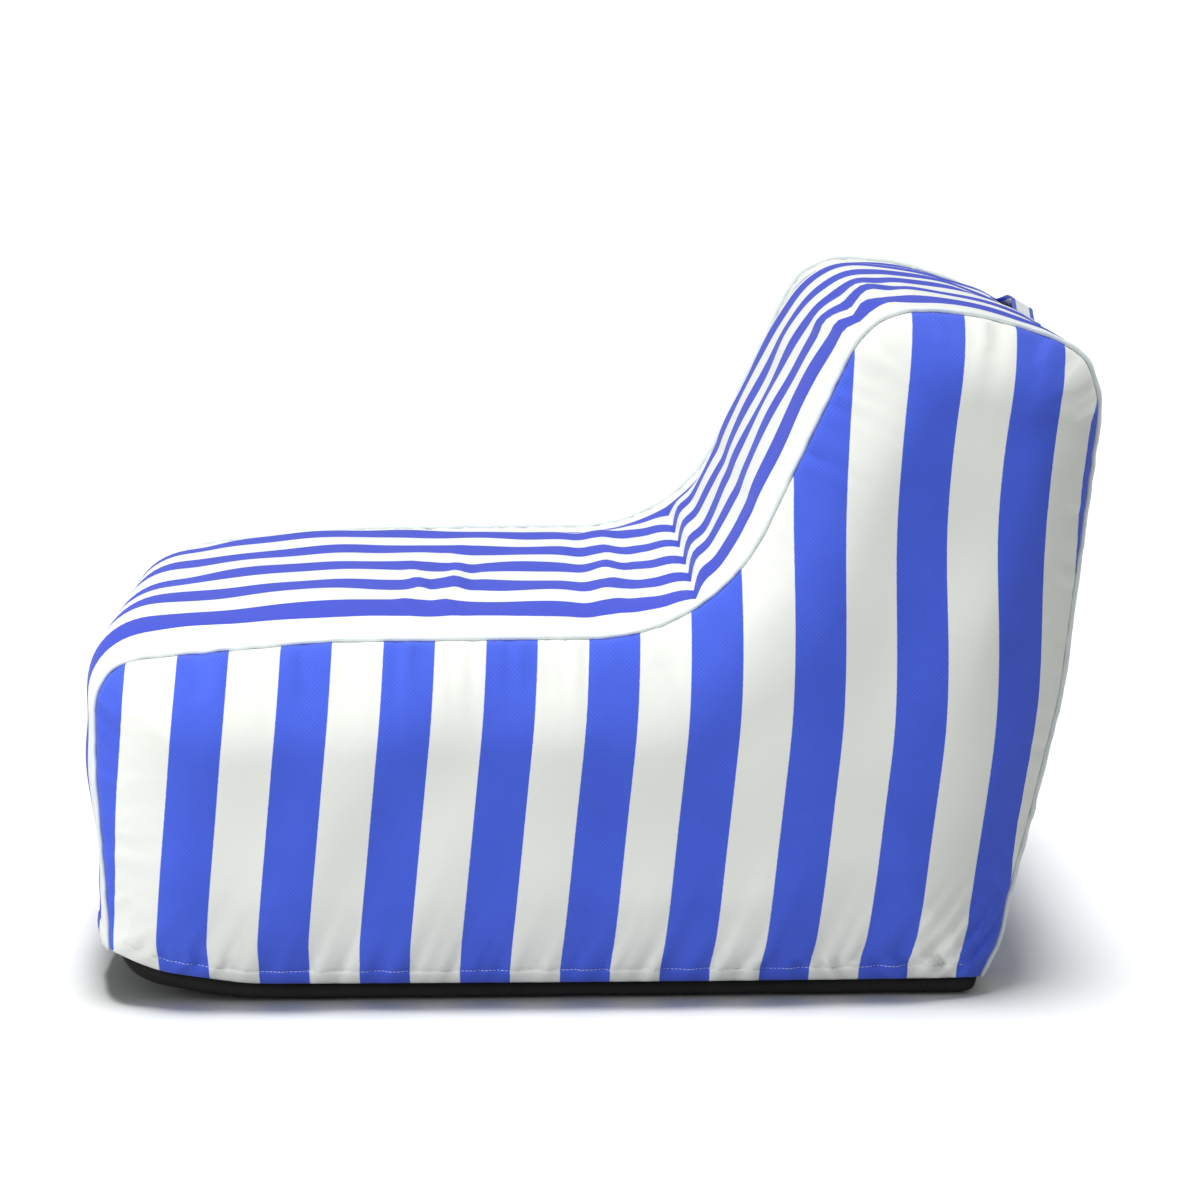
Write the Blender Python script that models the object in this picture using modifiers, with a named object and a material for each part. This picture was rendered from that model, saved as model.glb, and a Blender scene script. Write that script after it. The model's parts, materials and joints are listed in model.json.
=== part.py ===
"""Inflatable lounge-chair pool float.

A striped fabric cover, sewn from a centre band, two side panels and a black
base, is held out by two PVC air chambers, a seat wedge and a back wedge.
Welded webs inside each chamber keep its faces flat. A zip low on the rear
face gives the hand a way to the two air valves behind it.

Frame: metres, +X to the sitter's left, -Y to the front, +Z up. The origin is
on the ground, under the middle of the float.
"""

import bpy
import bmesh
from math import ceil, cos, pi, sin, tan
from mathutils import Matrix, Vector

# ---------------------------------------------------------------------------
# Driving dimensions, in metres and degrees
# ---------------------------------------------------------------------------
SEAM_X = 0.330                 # half the width between the two side seams
PANEL_BULGE = 0.0465           # how far a side panel domes out of its seam
SKIN = 0.002                   # cover thickness
EDGE_GAP = 0.0036              # from the seam plane to a panel's or band's edge
PIPING_RADIUS = 0.0026
PIPING_OUT = 0.0018            # piping's centre stands this far off the seam line
HEM_HEIGHT = 0.018             # hem's lower edge above the ground

CHAMBER_INSET = 0.005          # chamber's outer face behind the cover's outer face
CHAMBER_WALL = 0.0015
WEB_CLEARANCE = 0.0016         # web's edge to the chamber's inner face
WEB_THICKNESS = 0.001
CHAMBER_GAP = 0.003            # between the seat and the back chamber
CHAMBER_SPLIT = (0.0987, 0.393) # the gap's upper end, in the inner corner
AIR_HOLE_RADIUS = 0.028

ARC_STEP = 26 * pi / 180       # facet angle along rounded corners
STRAIGHT_STEP = 0.140          # longest facet along a straight stretch
TURNED_STEPS = 18              # facets round a turned piece
CLEARANCE = 0.0003             # between faces that touch

# Side seam, from the front hem over the seat and the back to the rear hem, as
# corners (y, z, radius, crown). The crown is how far the centre band swells
# outwards there, halfway between the side seams.
FRONT_HEM = (-0.4788, 0.0549, 0.000, 0.004)
FRONT_LOW = (-0.4805, 0.1120, 0.300, 0.021)
FRONT_MIDDLE = (-0.4868, 0.2350, 0.200, 0.031)
SEAT_FRONT = (-0.4845, 0.3505, 0.050, 0.026)
SEAT_MIDDLE = (-0.2576, 0.3703, 0.500, 0.0235)
SEAT_REAR = (-0.0283, 0.3715, 0.000, 0.0200)
INNER_CORNER = (0.1289, 0.3723, 0.190, -0.007)
BACK_LOW = (0.1917, 0.5070, 0.000, 0.022)
BACK_HIGH = (0.2417, 0.6143, 0.000, 0.019)
TOP_FRONT = (0.2806, 0.6977, 0.070, 0.010)
TOP_MIDDLE = (0.3844, 0.6924, 0.300, 0.005)
HANDLE_FORE = (0.4607, 0.6672, 0.000, 0.005)
HANDLE_AFT = (0.4902, 0.6495, 0.012, 0.005)
TOP_REAR = (0.5052, 0.6080, 0.060, 0.012)
REAR_HIGH = (0.4869, 0.4350, 0.000, 0.031)
REAR_MIDDLE = (0.4745, 0.3120, 0.250, 0.028)
REAR_LOW = (0.4483, 0.1900, 0.000, 0.023)
ZIP_TOP = (0.4262, 0.0960, 0.000, 0.000)
ZIP_FOOT = (0.4207, 0.0580, 0.030, 0.000)
REAR_HEM = (0.4017, 0.0180, 0.000, 0.000)
SEAM = [FRONT_HEM, FRONT_LOW, FRONT_MIDDLE, SEAT_FRONT, SEAT_MIDDLE, SEAT_REAR,
        INNER_CORNER, BACK_LOW, BACK_HIGH, TOP_FRONT, TOP_MIDDLE, HANDLE_FORE,
        HANDLE_AFT, TOP_REAR, REAR_HIGH, REAR_MIDDLE, REAR_LOW, ZIP_TOP, ZIP_FOOT,
        REAR_HEM]

# Lower edge of a side panel, from the rear hem to the front hem.
HEM = [REAR_HEM, (-0.3383, 0.0200, 0.200, 0.0), (-0.4313, 0.0330, 0.150, 0.0), FRONT_HEM]

# Chamber outline where it leaves the seam line: the sloping valve face, which
# cuts the rear bottom corner, then the underside and the lifted front edge.
VALVE_FACE_TOP = (0.4307, 0.1210, 0.015, 0.000)
VALVE_FACE_FOOT = (0.2827, 0.0300, 0.020, 0.014)
UNDERSIDE = [
    (0.2017, 0.032, 0.100, 0.030),
    (-0.3983, 0.034, 0.060, 0.030),
    (-0.4783, 0.106, 0.040, 0.006),
]

# Line that the side panels dome towards, from the front of the seat to the
# top of the back.
SPINE = [(-0.3233, 0.190), (0.1377, 0.190), (0.2777, 0.300), (0.3777, 0.560)]

BAND_STATIONS = (0.0, 0.45, 0.72, 0.88, 1.0)   # share of SEAM_X
CHAMBER_STATIONS = (0.24, 0.54, 0.84)
DOME_STEPS = (0.0, 0.08, 0.22, 0.60)                 # share of the way in
CROWN_POWER = 5.5                # flatness of the band between its two shoulders
DOME_REACH = 0.60              # share of the way in where the dome is flat
DOME_POWER = 0.75

# Base panel rings from its rim down to the ground: how far in from the seam,
# height at the sides and back, height at the lifted front.
BASE_RINGS = [
    (0.0034, 0.0270, 0.0600),
    (0.0042, 0.0180, 0.0500),
    (0.0120, 0.0075, 0.0340),
    (0.0320, 0.0015, 0.0120),
    (0.0560, 0.0000, 0.0000),
]
BASE_THICKNESS = 0.0015
HEM_SLOPE = 0.45               # how far the rear face leans out as it rises from the hem
BASE_LIFT_START = -0.328       # the underside rises in front of this Y

WEB_X = (-0.198, -0.066, 0.066, 0.198)
SEAT_AIR_HOLES = [(-0.3483, 0.185), (-0.1483, 0.185), (0.0417, 0.185)]
BACK_AIR_HOLES = [(0.3017, 0.330), (0.3317, 0.520)]

VALVES = {"seat": (-0.090, -0.031), "back": (0.090, 0.031)}  # X, place up the valve face
VALVE_HOLE_RADIUS = 0.0125
NECK_RADIUS = 0.0120
CAP_RADIUS = 0.0150

ZIP_HALF_LENGTH = 0.250
ZIP_DROP = 0.0175              # from the zip face's top edge down to the zip
ZIP_SLOT_HALF = 0.0056
ZIP_TAPE_WIDTH = 0.0150
ZIP_TAPE_THICKNESS = 0.0008
ZIP_COIL_WIDTH = 0.0024
ZIP_GAP_HALF = 0.0006          # half the gap between the two coils
SLIDER_X = 0.238               # slider's place when the zip is closed
SLIDER_LENGTH = 0.011
SLIDER_WIDTH = 0.0092
BAIL_HEIGHT = 0.0055           # pull's pivot above the cover

HANDLE_PLACE = 0.0152          # from the handle face's fore edge to the strap's middle
HANDLE_WIDTH = 0.028
HANDLE_SPAN = 0.130            # free length between the sewn ends
HANDLE_SEWN = 0.030            # sewn length at each end
HANDLE_ARCH = 0.014
HANDLE_THICKNESS = 0.0015

# ---------------------------------------------------------------------------
# Scene, materials and small helpers
# ---------------------------------------------------------------------------
for old in list(bpy.data.objects):
    bpy.data.objects.remove(old, do_unlink=True)

PARTS = bpy.data.collections.new("pool_float")
CUTTERS = bpy.data.collections.new("pool_float_cutters")
bpy.context.scene.collection.children.link(PARTS)
bpy.context.scene.collection.children.link(CUTTERS)


def material(name, colour, roughness, metallic=0.0):
    """A Principled material of one colour."""
    made = bpy.data.materials.new(name)
    made.use_nodes = True
    shader = made.node_tree.nodes["Principled BSDF"]
    shader.inputs["Base Color"].default_value = (*colour, 1.0)
    shader.inputs["Roughness"].default_value = roughness
    shader.inputs["Metallic"].default_value = metallic
    made.diffuse_color = (*colour, 1.0)
    return made


SIDE_FABRIC = material("side_fabric", (0.055, 0.110, 0.680), 0.80)
BAND_FABRIC = material("band_fabric", (0.850, 0.850, 0.840), 0.80)
PIPING_FABRIC = material("piping_fabric", (0.800, 0.810, 0.800), 0.70)
BASE_FABRIC = material("base_fabric", (0.012, 0.012, 0.013), 0.85)
CHAMBER_PVC = material("chamber_pvc", (0.420, 0.440, 0.460), 0.45)
WEB_PVC = material("web_pvc", (0.550, 0.570, 0.580), 0.45)
VALVE_PLASTIC = material("valve_plastic", (0.700, 0.710, 0.710), 0.35)
CAP_PLASTIC = material("cap_plastic", (0.030, 0.032, 0.035), 0.40)
VALVE_RUBBER = material("valve_rubber", (0.020, 0.020, 0.020), 0.60)
ZIP_FABRIC = material("zip_fabric", (0.015, 0.015, 0.016), 0.85)
ZIP_NYLON = material("zip_nylon", (0.020, 0.020, 0.022), 0.45)
ZIP_METAL = material("zip_metal", (0.030, 0.030, 0.032), 0.35, 0.6)
HANDLE_WEBBING = material("handle_webbing", (0.780, 0.790, 0.790), 0.80)


def add_object(name, data, surface=None, smooth=True):
    """Link one part, with its material, into the parts collection."""
    made = bpy.data.objects.new(name, data)
    PARTS.objects.link(made)
    if surface:
        data.materials.append(surface)
    if smooth and made.type == "MESH":
        data.shade_smooth()
        data.set_sharp_from_angle(angle=40 * pi / 180)
    return made


def add_cutter(name, data):
    """Link one cutter, which the model itself leaves out."""
    made = bpy.data.objects.new(name, data)
    CUTTERS.objects.link(made)
    made.hide_render = True
    made.display_type = "WIRE"
    return made


def mesh_from(name, build):
    """A mesh filled by build(bm)."""
    bm = bmesh.new()
    build(bm)
    mesh = bpy.data.meshes.new(name)
    bm.to_mesh(mesh)
    bm.free()
    return mesh


def add_boolean(target, cutter, operation):
    """A Boolean modifier with the exact solver."""
    modifier = target.modifiers.new(cutter.name, "BOOLEAN")
    modifier.operation = operation
    modifier.solver = "EXACT"
    modifier.object = cutter


def add_solidify(target, thickness, offset=-1.0):
    """Give an open skin its thickness, or a closed one its inner wall."""
    modifier = target.modifiers.new("thickness", "SOLIDIFY")
    modifier.thickness = thickness
    modifier.offset = offset
    modifier.use_even_offset = True


def box_mesh(name, low, high):
    """A box between two opposite corners."""
    low, high = Vector(low), Vector(high)

    def build(bm):
        size = Matrix.Diagonal((*(high - low), 1.0))
        place = Matrix.Translation((low + high) / 2)
        bmesh.ops.create_cube(bm, size=1.0, matrix=place @ size)

    return mesh_from(name, build)


def rod_mesh(name, rods, radius, low, high, steps):
    """Upright rods at each (x, y), from low to high."""
    def build(bm):
        for x, y in rods:
            place = Matrix.Translation((x, y, (low + high) / 2))
            bmesh.ops.create_cone(bm, cap_ends=True, segments=steps, radius1=radius,
                                  radius2=radius, depth=high - low, matrix=place)

    return mesh_from(name, build)


def turned(name, profile, surface, closed=False):
    """A turned piece from (radius, height) points, outer side top to bottom."""
    def build(bm):
        verts = [bm.verts.new((radius, 0, height)) for radius, height in profile]
        pairs = list(zip(verts, verts[1:]))
        if closed:
            pairs.append((verts[-1], verts[0]))
        for start, end in pairs:
            bm.edges.new((start, end))

    made = add_object(name, mesh_from(name, build), surface, smooth=False)
    screw = made.modifiers.new("turn", "SCREW")
    screw.axis = "Z"
    screw.steps = TURNED_STEPS
    screw.render_steps = TURNED_STEPS
    screw.use_merge_vertices = True
    screw.merge_threshold = 0.00005
    screw.use_smooth_shade = False
    return made


# ---------------------------------------------------------------------------
# Outlines and lofts
# ---------------------------------------------------------------------------
def smooth_step(share):
    """0 to 1 with level ends."""
    return share * share * (3 - 2 * share)


def rounded_path(corners, closed=False):
    """Points and crowns along a line of rounded (y, z, radius, crown) corners."""
    arcs = []
    last = len(corners) - 1
    for index, (y, z, radius, crown) in enumerate(corners):
        corner = Vector((y, z))
        if radius == 0 or (not closed and index in (0, last)):
            arcs.append([corner])
            continue
        back = (Vector(corners[index - 1][:2]) - corner).normalized()
        ahead = (Vector(corners[(index + 1) % len(corners)][:2]) - corner).normalized()
        turn = pi - back.angle(ahead)
        start = corner + back * radius * tan(turn / 2)
        centre = corner + (back + ahead).normalized() * radius / cos(turn / 2)
        spoke = start - centre
        way = 1 if spoke.cross(corner - centre) > 0 else -1
        steps = 2 * ceil(turn / ARC_STEP / 2)
        arcs.append([centre + Matrix.Rotation(way * turn * step / steps, 2) @ spoke
                     for step in range(steps + 1)])

    points, marks = [], []
    for index, arc in enumerate(arcs):
        marks.append((len(points) + len(arc) // 2, corners[index][3]))
        points += arc
        if closed or index < last:
            start, end = arc[-1], arcs[(index + 1) % len(arcs)][0]
            pieces = ceil((end - start).length / STRAIGHT_STEP)
            points += [start.lerp(end, piece / pieces) for piece in range(1, pieces)]
    if closed:
        marks.append((marks[0][0] + len(points), marks[0][1]))

    crowns = [0.0] * len(points)
    for (first, crown), (final, next_crown) in zip(marks, marks[1:]):
        run = [points[index % len(points)] for index in range(first, final + 1)]
        lengths = [0.0]
        for start, end in zip(run, run[1:]):
            lengths.append(lengths[-1] + (end - start).length)
        for step, length in enumerate(lengths):
            blend = smooth_step(length / lengths[-1])
            crowns[(first + step) % len(points)] = crown + (next_crown - crown) * blend
    return list(zip(points, crowns))


def outward_normals(points, closed=False):
    """Unit normals on the left of the way that the points run."""
    normals = []
    last = len(points) - 1
    for index in range(len(points)):
        before = points[index - 1] if closed or index > 0 else points[0]
        after = points[(index + 1) % len(points)] if closed or index < last else points[last]
        along = (after - before).normalized()
        normals.append(Vector((-along.y, along.x)))
    return normals


def crown_share(station):
    """Share of the crown at a station between the seams, -1 to 1."""
    return 1 - abs(station) ** CROWN_POWER


def dome_share(step):
    """Share of the side bulge at a share of the way in from the seam."""
    return sin(pi / 2 * min(step / DOME_REACH, 1)) ** DOME_POWER


def spine_point(point):
    """Nearest point of the spine to an outline point."""
    best = None
    for start, end in zip(SPINE, SPINE[1:]):
        start, end = Vector(start), Vector(end)
        share = (point - start).dot(end - start) / (end - start).length_squared
        near = start.lerp(end, min(max(share, 0), 1))
        if best is None or (near - point).length < (best - point).length:
            best = near
    return best


def loft(rings, close_rings=False, cap_first=False, cap_last=False):
    """Quads between neighbouring rings of the same number of points."""
    def build(bm):
        rows = [[bm.verts.new(point) for point in ring] for ring in rings]
        count = len(rows[0])
        for row, above in zip(rows, rows[1:]):
            for index in range(count if close_rings else count - 1):
                beyond = (index + 1) % count
                bm.faces.new((row[index], row[beyond], above[beyond], above[index]))
        if cap_first:
            bm.faces.new(reversed(rows[0]))
        if cap_last:
            bm.faces.new(rows[-1])

    return build


def mirrored_stations(stations):
    """Stations from -1 to 1, out of those from 0 to 1."""
    return [-station for station in reversed(stations) if station > 0] + list(stations)


# ---------------------------------------------------------------------------
# Cover: centre band, side panels, piping and base
# ---------------------------------------------------------------------------
def line_frame(start, end, distance):
    """Frame on the line from start to end: X, along the line, outwards."""
    start, end = Vector(start), Vector(end)
    along = (end - start).normalized()
    place = start + along * distance
    out = Vector((-along.y, along.x))
    frame = Matrix.Identity(4)
    frame.col[1] = (0, along.x, along.y, 0)
    frame.col[2] = (0, out.x, out.y, 0)
    frame.col[3] = (0, place.x, place.y, 1)
    return frame


def make_band():
    """The striped band over front, seat, back, top and rear, with the zip's slot."""
    samples = rounded_path(SEAM)
    points = [point for point, crown in samples]
    normals = outward_normals(points)
    edge = SEAM_X - EDGE_GAP
    rings = []
    for station in mirrored_stations(BAND_STATIONS):
        ring = []
        for (point, crown), normal in zip(samples, normals):
            place = point + normal * crown * crown_share(station)
            ring.append((station * edge, place.x, place.y))
        rings.append(ring)
    rings.reverse()
    band = add_object("centre_band", mesh_from("centre_band", loft(rings)), BAND_FABRIC)
    add_solidify(band, SKIN)
    low, high = (-ZIP_HALF_LENGTH, -ZIP_SLOT_HALF, -0.01), (ZIP_HALF_LENGTH, ZIP_SLOT_HALF, 0.01)
    slot = add_cutter("zip_slot", box_mesh("zip_slot", low, high))
    slot.matrix_world = zip_frame()
    add_boolean(band, slot, "DIFFERENCE")


def side_outline():
    """Closed outline of a side panel: the seam, then the hem back to the front."""
    seam = [point for point, crown in rounded_path(SEAM)]
    hem = [point for point, crown in rounded_path(HEM)]
    return seam + hem[1:-1]


def make_side_panel(name, side):
    """A domed side panel; side is 1 on the sitter's left, -1 on the right."""
    outline = side_outline()
    rings = []
    for step in DOME_STEPS:
        x = SEAM_X + EDGE_GAP + PANEL_BULGE * dome_share(step)
        ring = [point.lerp(spine_point(point), step) for point in outline]
        rings.append([(side * x, place.x, place.y) for place in ring])
    if side > 0:
        rings = [list(reversed(ring)) for ring in rings]
    build = loft(rings, close_rings=True, cap_last=True)
    panel = add_object(name, mesh_from(name, build), SIDE_FABRIC)
    add_solidify(panel, SKIN)


def make_piping(name, side):
    """The welt along one side seam."""
    points = [point for point, crown in rounded_path(SEAM)]
    normals = outward_normals(points)
    curve = bpy.data.curves.new(name, "CURVE")
    curve.dimensions = "3D"
    curve.bevel_depth = PIPING_RADIUS
    curve.bevel_resolution = 2
    curve.use_fill_caps = True
    spline = curve.splines.new("POLY")
    spline.points.add(len(points) - 1)
    for target, point, normal in zip(spline.points, points, normals):
        place = point + normal * PIPING_OUT
        target.co = (side * SEAM_X, place.x, place.y, 1)
    add_object(name, curve, PIPING_FABRIC)


def base_ring(inset, low, lifted):
    """One ring of the base: a rounded rectangle whose front is lifted."""
    front, rear = FRONT_HEM[0] + inset, REAR_HEM[0] + (low - HEM_HEIGHT) * HEM_SLOPE - inset
    if lifted == 0:
        front += 0.030
    half = SEAM_X - inset + 0.002
    radius = 0.006 + inset
    corners = [(half, front), (half, rear), (-half, rear), (-half, front)]
    ring = []
    for index, (x, y) in enumerate(corners):
        start = index * pi / 2 - pi / 2
        centre = (x - radius * (1 if x > 0 else -1), y - radius * (1 if y > 0 else -1))
        for step in range(5):
            angle = start + step * pi / 8
            place = (centre[0] + radius * cos(angle), centre[1] + radius * sin(angle), low)
            ring.append(Vector(place))
        after = corners[(index + 1) % 4]
        begin, finish = ring[-1].copy(), Vector((after[0], after[1], low))
        for step in range(1, 6):
            ring.append(begin.lerp(finish, step / 6))
    for point in ring:
        share = min(max((BASE_LIFT_START - point.y) / (BASE_LIFT_START - front), 0), 1)
        point.z = low + (lifted - low) * share ** 2
    return ring


def make_base():
    """The black base, a shallow dish whose rim tucks inside the hem."""
    rings = [list(reversed(base_ring(*numbers))) for numbers in BASE_RINGS]
    build = loft(rings, close_rings=True, cap_last=True)
    base = add_object("base_panel", mesh_from("base_panel", build), BASE_FABRIC)
    add_solidify(base, BASE_THICKNESS)


# ---------------------------------------------------------------------------
# Air chambers and their webs
# ---------------------------------------------------------------------------
def chamber_form(inset):
    """Closed form that fills the cover, inset from its outer face."""
    seam = SEAM[SEAM.index(FRONT_MIDDLE):SEAM.index(REAR_LOW)]
    corners = seam + [VALVE_FACE_TOP, VALVE_FACE_FOOT] + UNDERSIDE
    samples = rounded_path(corners, closed=True)
    points = [point for point, crown in samples]
    normals = outward_normals(points, closed=True)
    inner = [point - normal * inset for point, normal in zip(points, normals)]
    middle = []
    for station in mirrored_stations(CHAMBER_STATIONS):
        ring = []
        for (point, crown), place, normal in zip(samples, inner, normals):
            pushed = place + normal * crown * crown_share(station)
            ring.append((station * SEAM_X, pushed.x, pushed.y))
        middle.append(ring)

    def dome(side):
        rings = []
        for step in DOME_STEPS:
            x = side * (SEAM_X - inset + PANEL_BULGE * dome_share(step))
            ring = [place.lerp(spine_point(place), step) for place in inner]
            rings.append([(x, place.x, place.y) for place in ring])
        return rings

    rings = list(reversed(dome(-1))) + middle + dome(1)
    rings.reverse()
    return loft(rings, close_rings=True, cap_first=True, cap_last=True)


def valve_face_frame(distance):
    """Frame on the chamber's sloping valve face, distance up from its middle."""
    top, foot = Vector(VALVE_FACE_TOP[:2]), Vector(VALVE_FACE_FOOT[:2])
    out = line_frame(top, foot, 0).col[2].yz
    top += out * (VALVE_FACE_TOP[3] - CHAMBER_INSET)
    foot += out * (VALVE_FACE_FOOT[3] - CHAMBER_INSET)
    return line_frame(top, foot, (top - foot).length / 2 - distance)


def half_space(name, setback, side):
    """A large box on one side of the plane between the two chambers."""
    frame = line_frame(CHAMBER_SPLIT, valve_face_frame(0).translation.yz, 0.0)
    box = (-0.6, -0.6, setback) if side > 0 else (-0.6, -0.6, -1.2 - setback)
    far = (0.6, 1.2, 1.2 + setback) if side > 0 else (0.6, 1.2, -setback)
    made = add_cutter(name, box_mesh(name, box, far))
    made.matrix_world = frame
    return made


def make_chamber(which, side, holes):
    """One hollow chamber, the webs inside it and its valve hole."""
    name = which + "_air_chamber"
    chamber = add_object(name, mesh_from(name, chamber_form(CHAMBER_INSET)), CHAMBER_PVC)
    add_boolean(chamber, half_space(name + "_side", CHAMBER_GAP / 2, side), "INTERSECT")
    add_solidify(chamber, CHAMBER_WALL)
    x, rise = VALVES[which]
    hole = add_cutter(name + "_hole", rod_mesh(
        name + "_hole", [(0, 0)], VALVE_HOLE_RADIUS, -0.01, 0.01, TURNED_STEPS))
    hole.matrix_world = Matrix.Translation((x, 0, 0)) @ valve_face_frame(rise)
    add_boolean(chamber, hole, "DIFFERENCE")

    inset = CHAMBER_INSET + CHAMBER_WALL + WEB_CLEARANCE
    inside = add_cutter(which + "_inside", mesh_from(which + "_inside", chamber_form(inset)))
    setback = CHAMBER_GAP / 2 + CHAMBER_WALL + WEB_CLEARANCE
    inner_side = half_space(which + "_web_side", setback, side)
    air = add_cutter(which + "_air_holes", rod_mesh(
        which + "_air_holes", holes, AIR_HOLE_RADIUS, -0.5, 0.5, 10))
    air.matrix_world = Matrix(((0, 0, 1, 0), (1, 0, 0, 0), (0, 1, 0, 0), (0, 0, 0, 1)))
    for number, web_x in enumerate(WEB_X, 1):
        web_name = f"{which}_web_{number}"
        low = (web_x - WEB_THICKNESS / 2, -0.6, -0.1)
        high = (web_x + WEB_THICKNESS / 2, 0.6, 0.8)
        web = add_object(web_name, box_mesh(web_name, low, high), WEB_PVC, smooth=False)
        add_boolean(web, inner_side, "INTERSECT")
        add_boolean(web, inside, "INTERSECT")
        add_boolean(web, air, "DIFFERENCE")


# ---------------------------------------------------------------------------
# Valves: welded base, core, check disc, screw cap and tether ring
# ---------------------------------------------------------------------------
def make_valve(which):
    """The five pieces of one valve, turned about the valve face's normal."""
    x, rise = VALVES[which]
    frame = Matrix.Translation((x, 0, 0)) @ valve_face_frame(rise)
    name = which + "_valve"

    base = turned(name + "_base", [
        (0.0100, 0.0100), (NECK_RADIUS, 0.0100), (NECK_RADIUS, 0.0018), (0.0220, 0.0018),
        (0.0220, CLEARANCE), (NECK_RADIUS, CLEARANCE), (NECK_RADIUS, -0.0080),
        (0.0100, -0.0080)], VALVE_PLASTIC, closed=True)

    core = add_object(name + "_core", rod_mesh(
        name + "_core", [(0, 0)], 0.0096, -0.0048, -0.0028, TURNED_STEPS), VALVE_PLASTIC, False)
    around = [(0.0055 * cos(k * pi / 3), 0.0055 * sin(k * pi / 3)) for k in range(6)]
    ports = add_cutter(
        name + "_ports", rod_mesh(name + "_ports", around, 0.0019, -0.01, 0.01, 10))
    guide = add_cutter(
        name + "_guide", rod_mesh(name + "_guide", [(0, 0)], 0.0014, -0.01, 0.01, 12))
    ports.matrix_world = frame
    guide.matrix_world = frame
    add_boolean(core, ports, "DIFFERENCE")
    add_boolean(core, guide, "DIFFERENCE")

    disc = turned(name + "_check_disc", [
        (0, 0.0000), (0.0020, 0.0000), (0.0020, -0.0007), (0.0011, -0.0007),
        (0.0011, -0.0052), (0.0082, -0.0052), (0.0082, -0.0060), (0, -0.0060)], VALVE_RUBBER)

    cap = turned(name + "_cap", [
        (0, 0.0128), (CAP_RADIUS - 0.001, 0.0128), (CAP_RADIUS, 0.0118), (CAP_RADIUS, 0.0062),
        (0.0138, 0.0062), (0.0138, 0.0036), (CAP_RADIUS, 0.0036), (CAP_RADIUS, 0.0026),
        (0.0124, 0.0026), (0.0124, 0.0105), (0, 0.0105)], CAP_PLASTIC)
    grip = add_cutter(name + "_grip", box_mesh(
        name + "_grip", (-0.0110, -0.0020, 0.0120), (0.0110, 0.0020, 0.0165)))
    grip.matrix_world = frame
    add_boolean(cap, grip, "UNION")

    tether = turned(name + "_tether", [
        (0.0143, 0.0058), (0.0172, 0.0058), (0.0172, 0.0041), (0.0143, 0.0041)],
        CAP_PLASTIC, closed=True)
    strap = add_cutter(name + "_strap", box_mesh(
        name + "_strap", (0.0165, -0.0030, 0.0041), (0.0290, 0.0030, 0.0054)))
    strap.matrix_world = frame
    add_boolean(tether, strap, "UNION")

    for piece in (base, core, disc, cap, tether):
        piece.matrix_world = frame


# ---------------------------------------------------------------------------
# Zip
# ---------------------------------------------------------------------------
def zip_frame():
    """Frame on the rear face at the zip: X, down the face, outwards."""
    return line_frame(ZIP_TOP[:2], ZIP_FOOT[:2], ZIP_DROP)


def make_zip():
    """Two tapes, two coils, two end stops, the slider and its pull."""
    frame = zip_frame()
    tape_top = -SKIN - 0.0004
    for name, side in (("upper", -1), ("lower", 1)):
        near, far = side * ZIP_GAP_HALF, side * ZIP_TAPE_WIDTH
        low, high = min(near, far), max(near, far)
        tape = add_object("zip_tape_" + name, box_mesh(
            "zip_tape_" + name, (-ZIP_HALF_LENGTH - 0.012, low, tape_top - ZIP_TAPE_THICKNESS),
            (ZIP_HALF_LENGTH + 0.012, high, tape_top)), ZIP_FABRIC, False)
        far = side * (ZIP_GAP_HALF + ZIP_COIL_WIDTH)
        low, high = min(near, far), max(near, far)
        coil = add_object("zip_coil_" + name, box_mesh(
            "zip_coil_" + name, (-ZIP_HALF_LENGTH + 0.004, low, tape_top + CLEARANCE),
            (ZIP_HALF_LENGTH - 0.004, high, -CLEARANCE)), ZIP_NYLON, False)
        tape.matrix_world = frame
        coil.matrix_world = frame
    for name, side in (("left", 1), ("right", -1)):
        ends = sorted((side * (ZIP_HALF_LENGTH - 0.0035), side * (ZIP_HALF_LENGTH - 0.0005)))
        stop = add_object("zip_stop_" + name, box_mesh(
            "zip_stop_" + name, (ends[0], -0.0040, tape_top + CLEARANCE),
            (ends[1], 0.0040, 0.0012)), ZIP_METAL, False)
        stop.matrix_world = frame

    place = frame @ Matrix.Translation((SLIDER_X, 0, 0))
    make_slider(place, tape_top)
    make_pull(place)


def make_slider(place, tape_top):
    """Slider: two plates round the coils, a thin post between them and a bail."""
    half, wide = SLIDER_LENGTH / 2, SLIDER_WIDTH / 2
    under = tape_top - ZIP_TAPE_THICKNESS - 0.0004
    slider = add_object("zip_slider", box_mesh(
        "zip_slider", (-half, -wide, 0.0004), (half, wide, 0.0017)), ZIP_METAL, False)
    pieces = {
        "back_plate": ((-half, -wide, under - 0.0012), (half, wide, under)),
        "post": ((-half + 0.001, -0.0003, under - 0.0006), (half - 0.001, 0.0003, 0.0010)),
        "lip_upper": ((-half, -wide, tape_top + 0.0004), (half, -wide + 0.0010, 0.0010)),
        "lip_lower": ((-half, wide - 0.0010, tape_top + 0.0004), (half, wide, 0.0010)),
        "bail_front": ((0.0030, -0.0010, 0.0010), (0.0044, 0.0010, BAIL_HEIGHT)),
        "bail_rear": ((-0.0044, -0.0010, 0.0010), (-0.0030, 0.0010, BAIL_HEIGHT)),
        "bail_top": ((-0.0044, -0.0007, BAIL_HEIGHT - 0.0007),
                     (0.0044, 0.0007, BAIL_HEIGHT + 0.0007)),
    }
    slider.matrix_world = place
    for name, (low, high) in pieces.items():
        cutter = add_cutter("slider_" + name, box_mesh("slider_" + name, low, high))
        cutter.matrix_world = place
        add_boolean(slider, cutter, "UNION")


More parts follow.
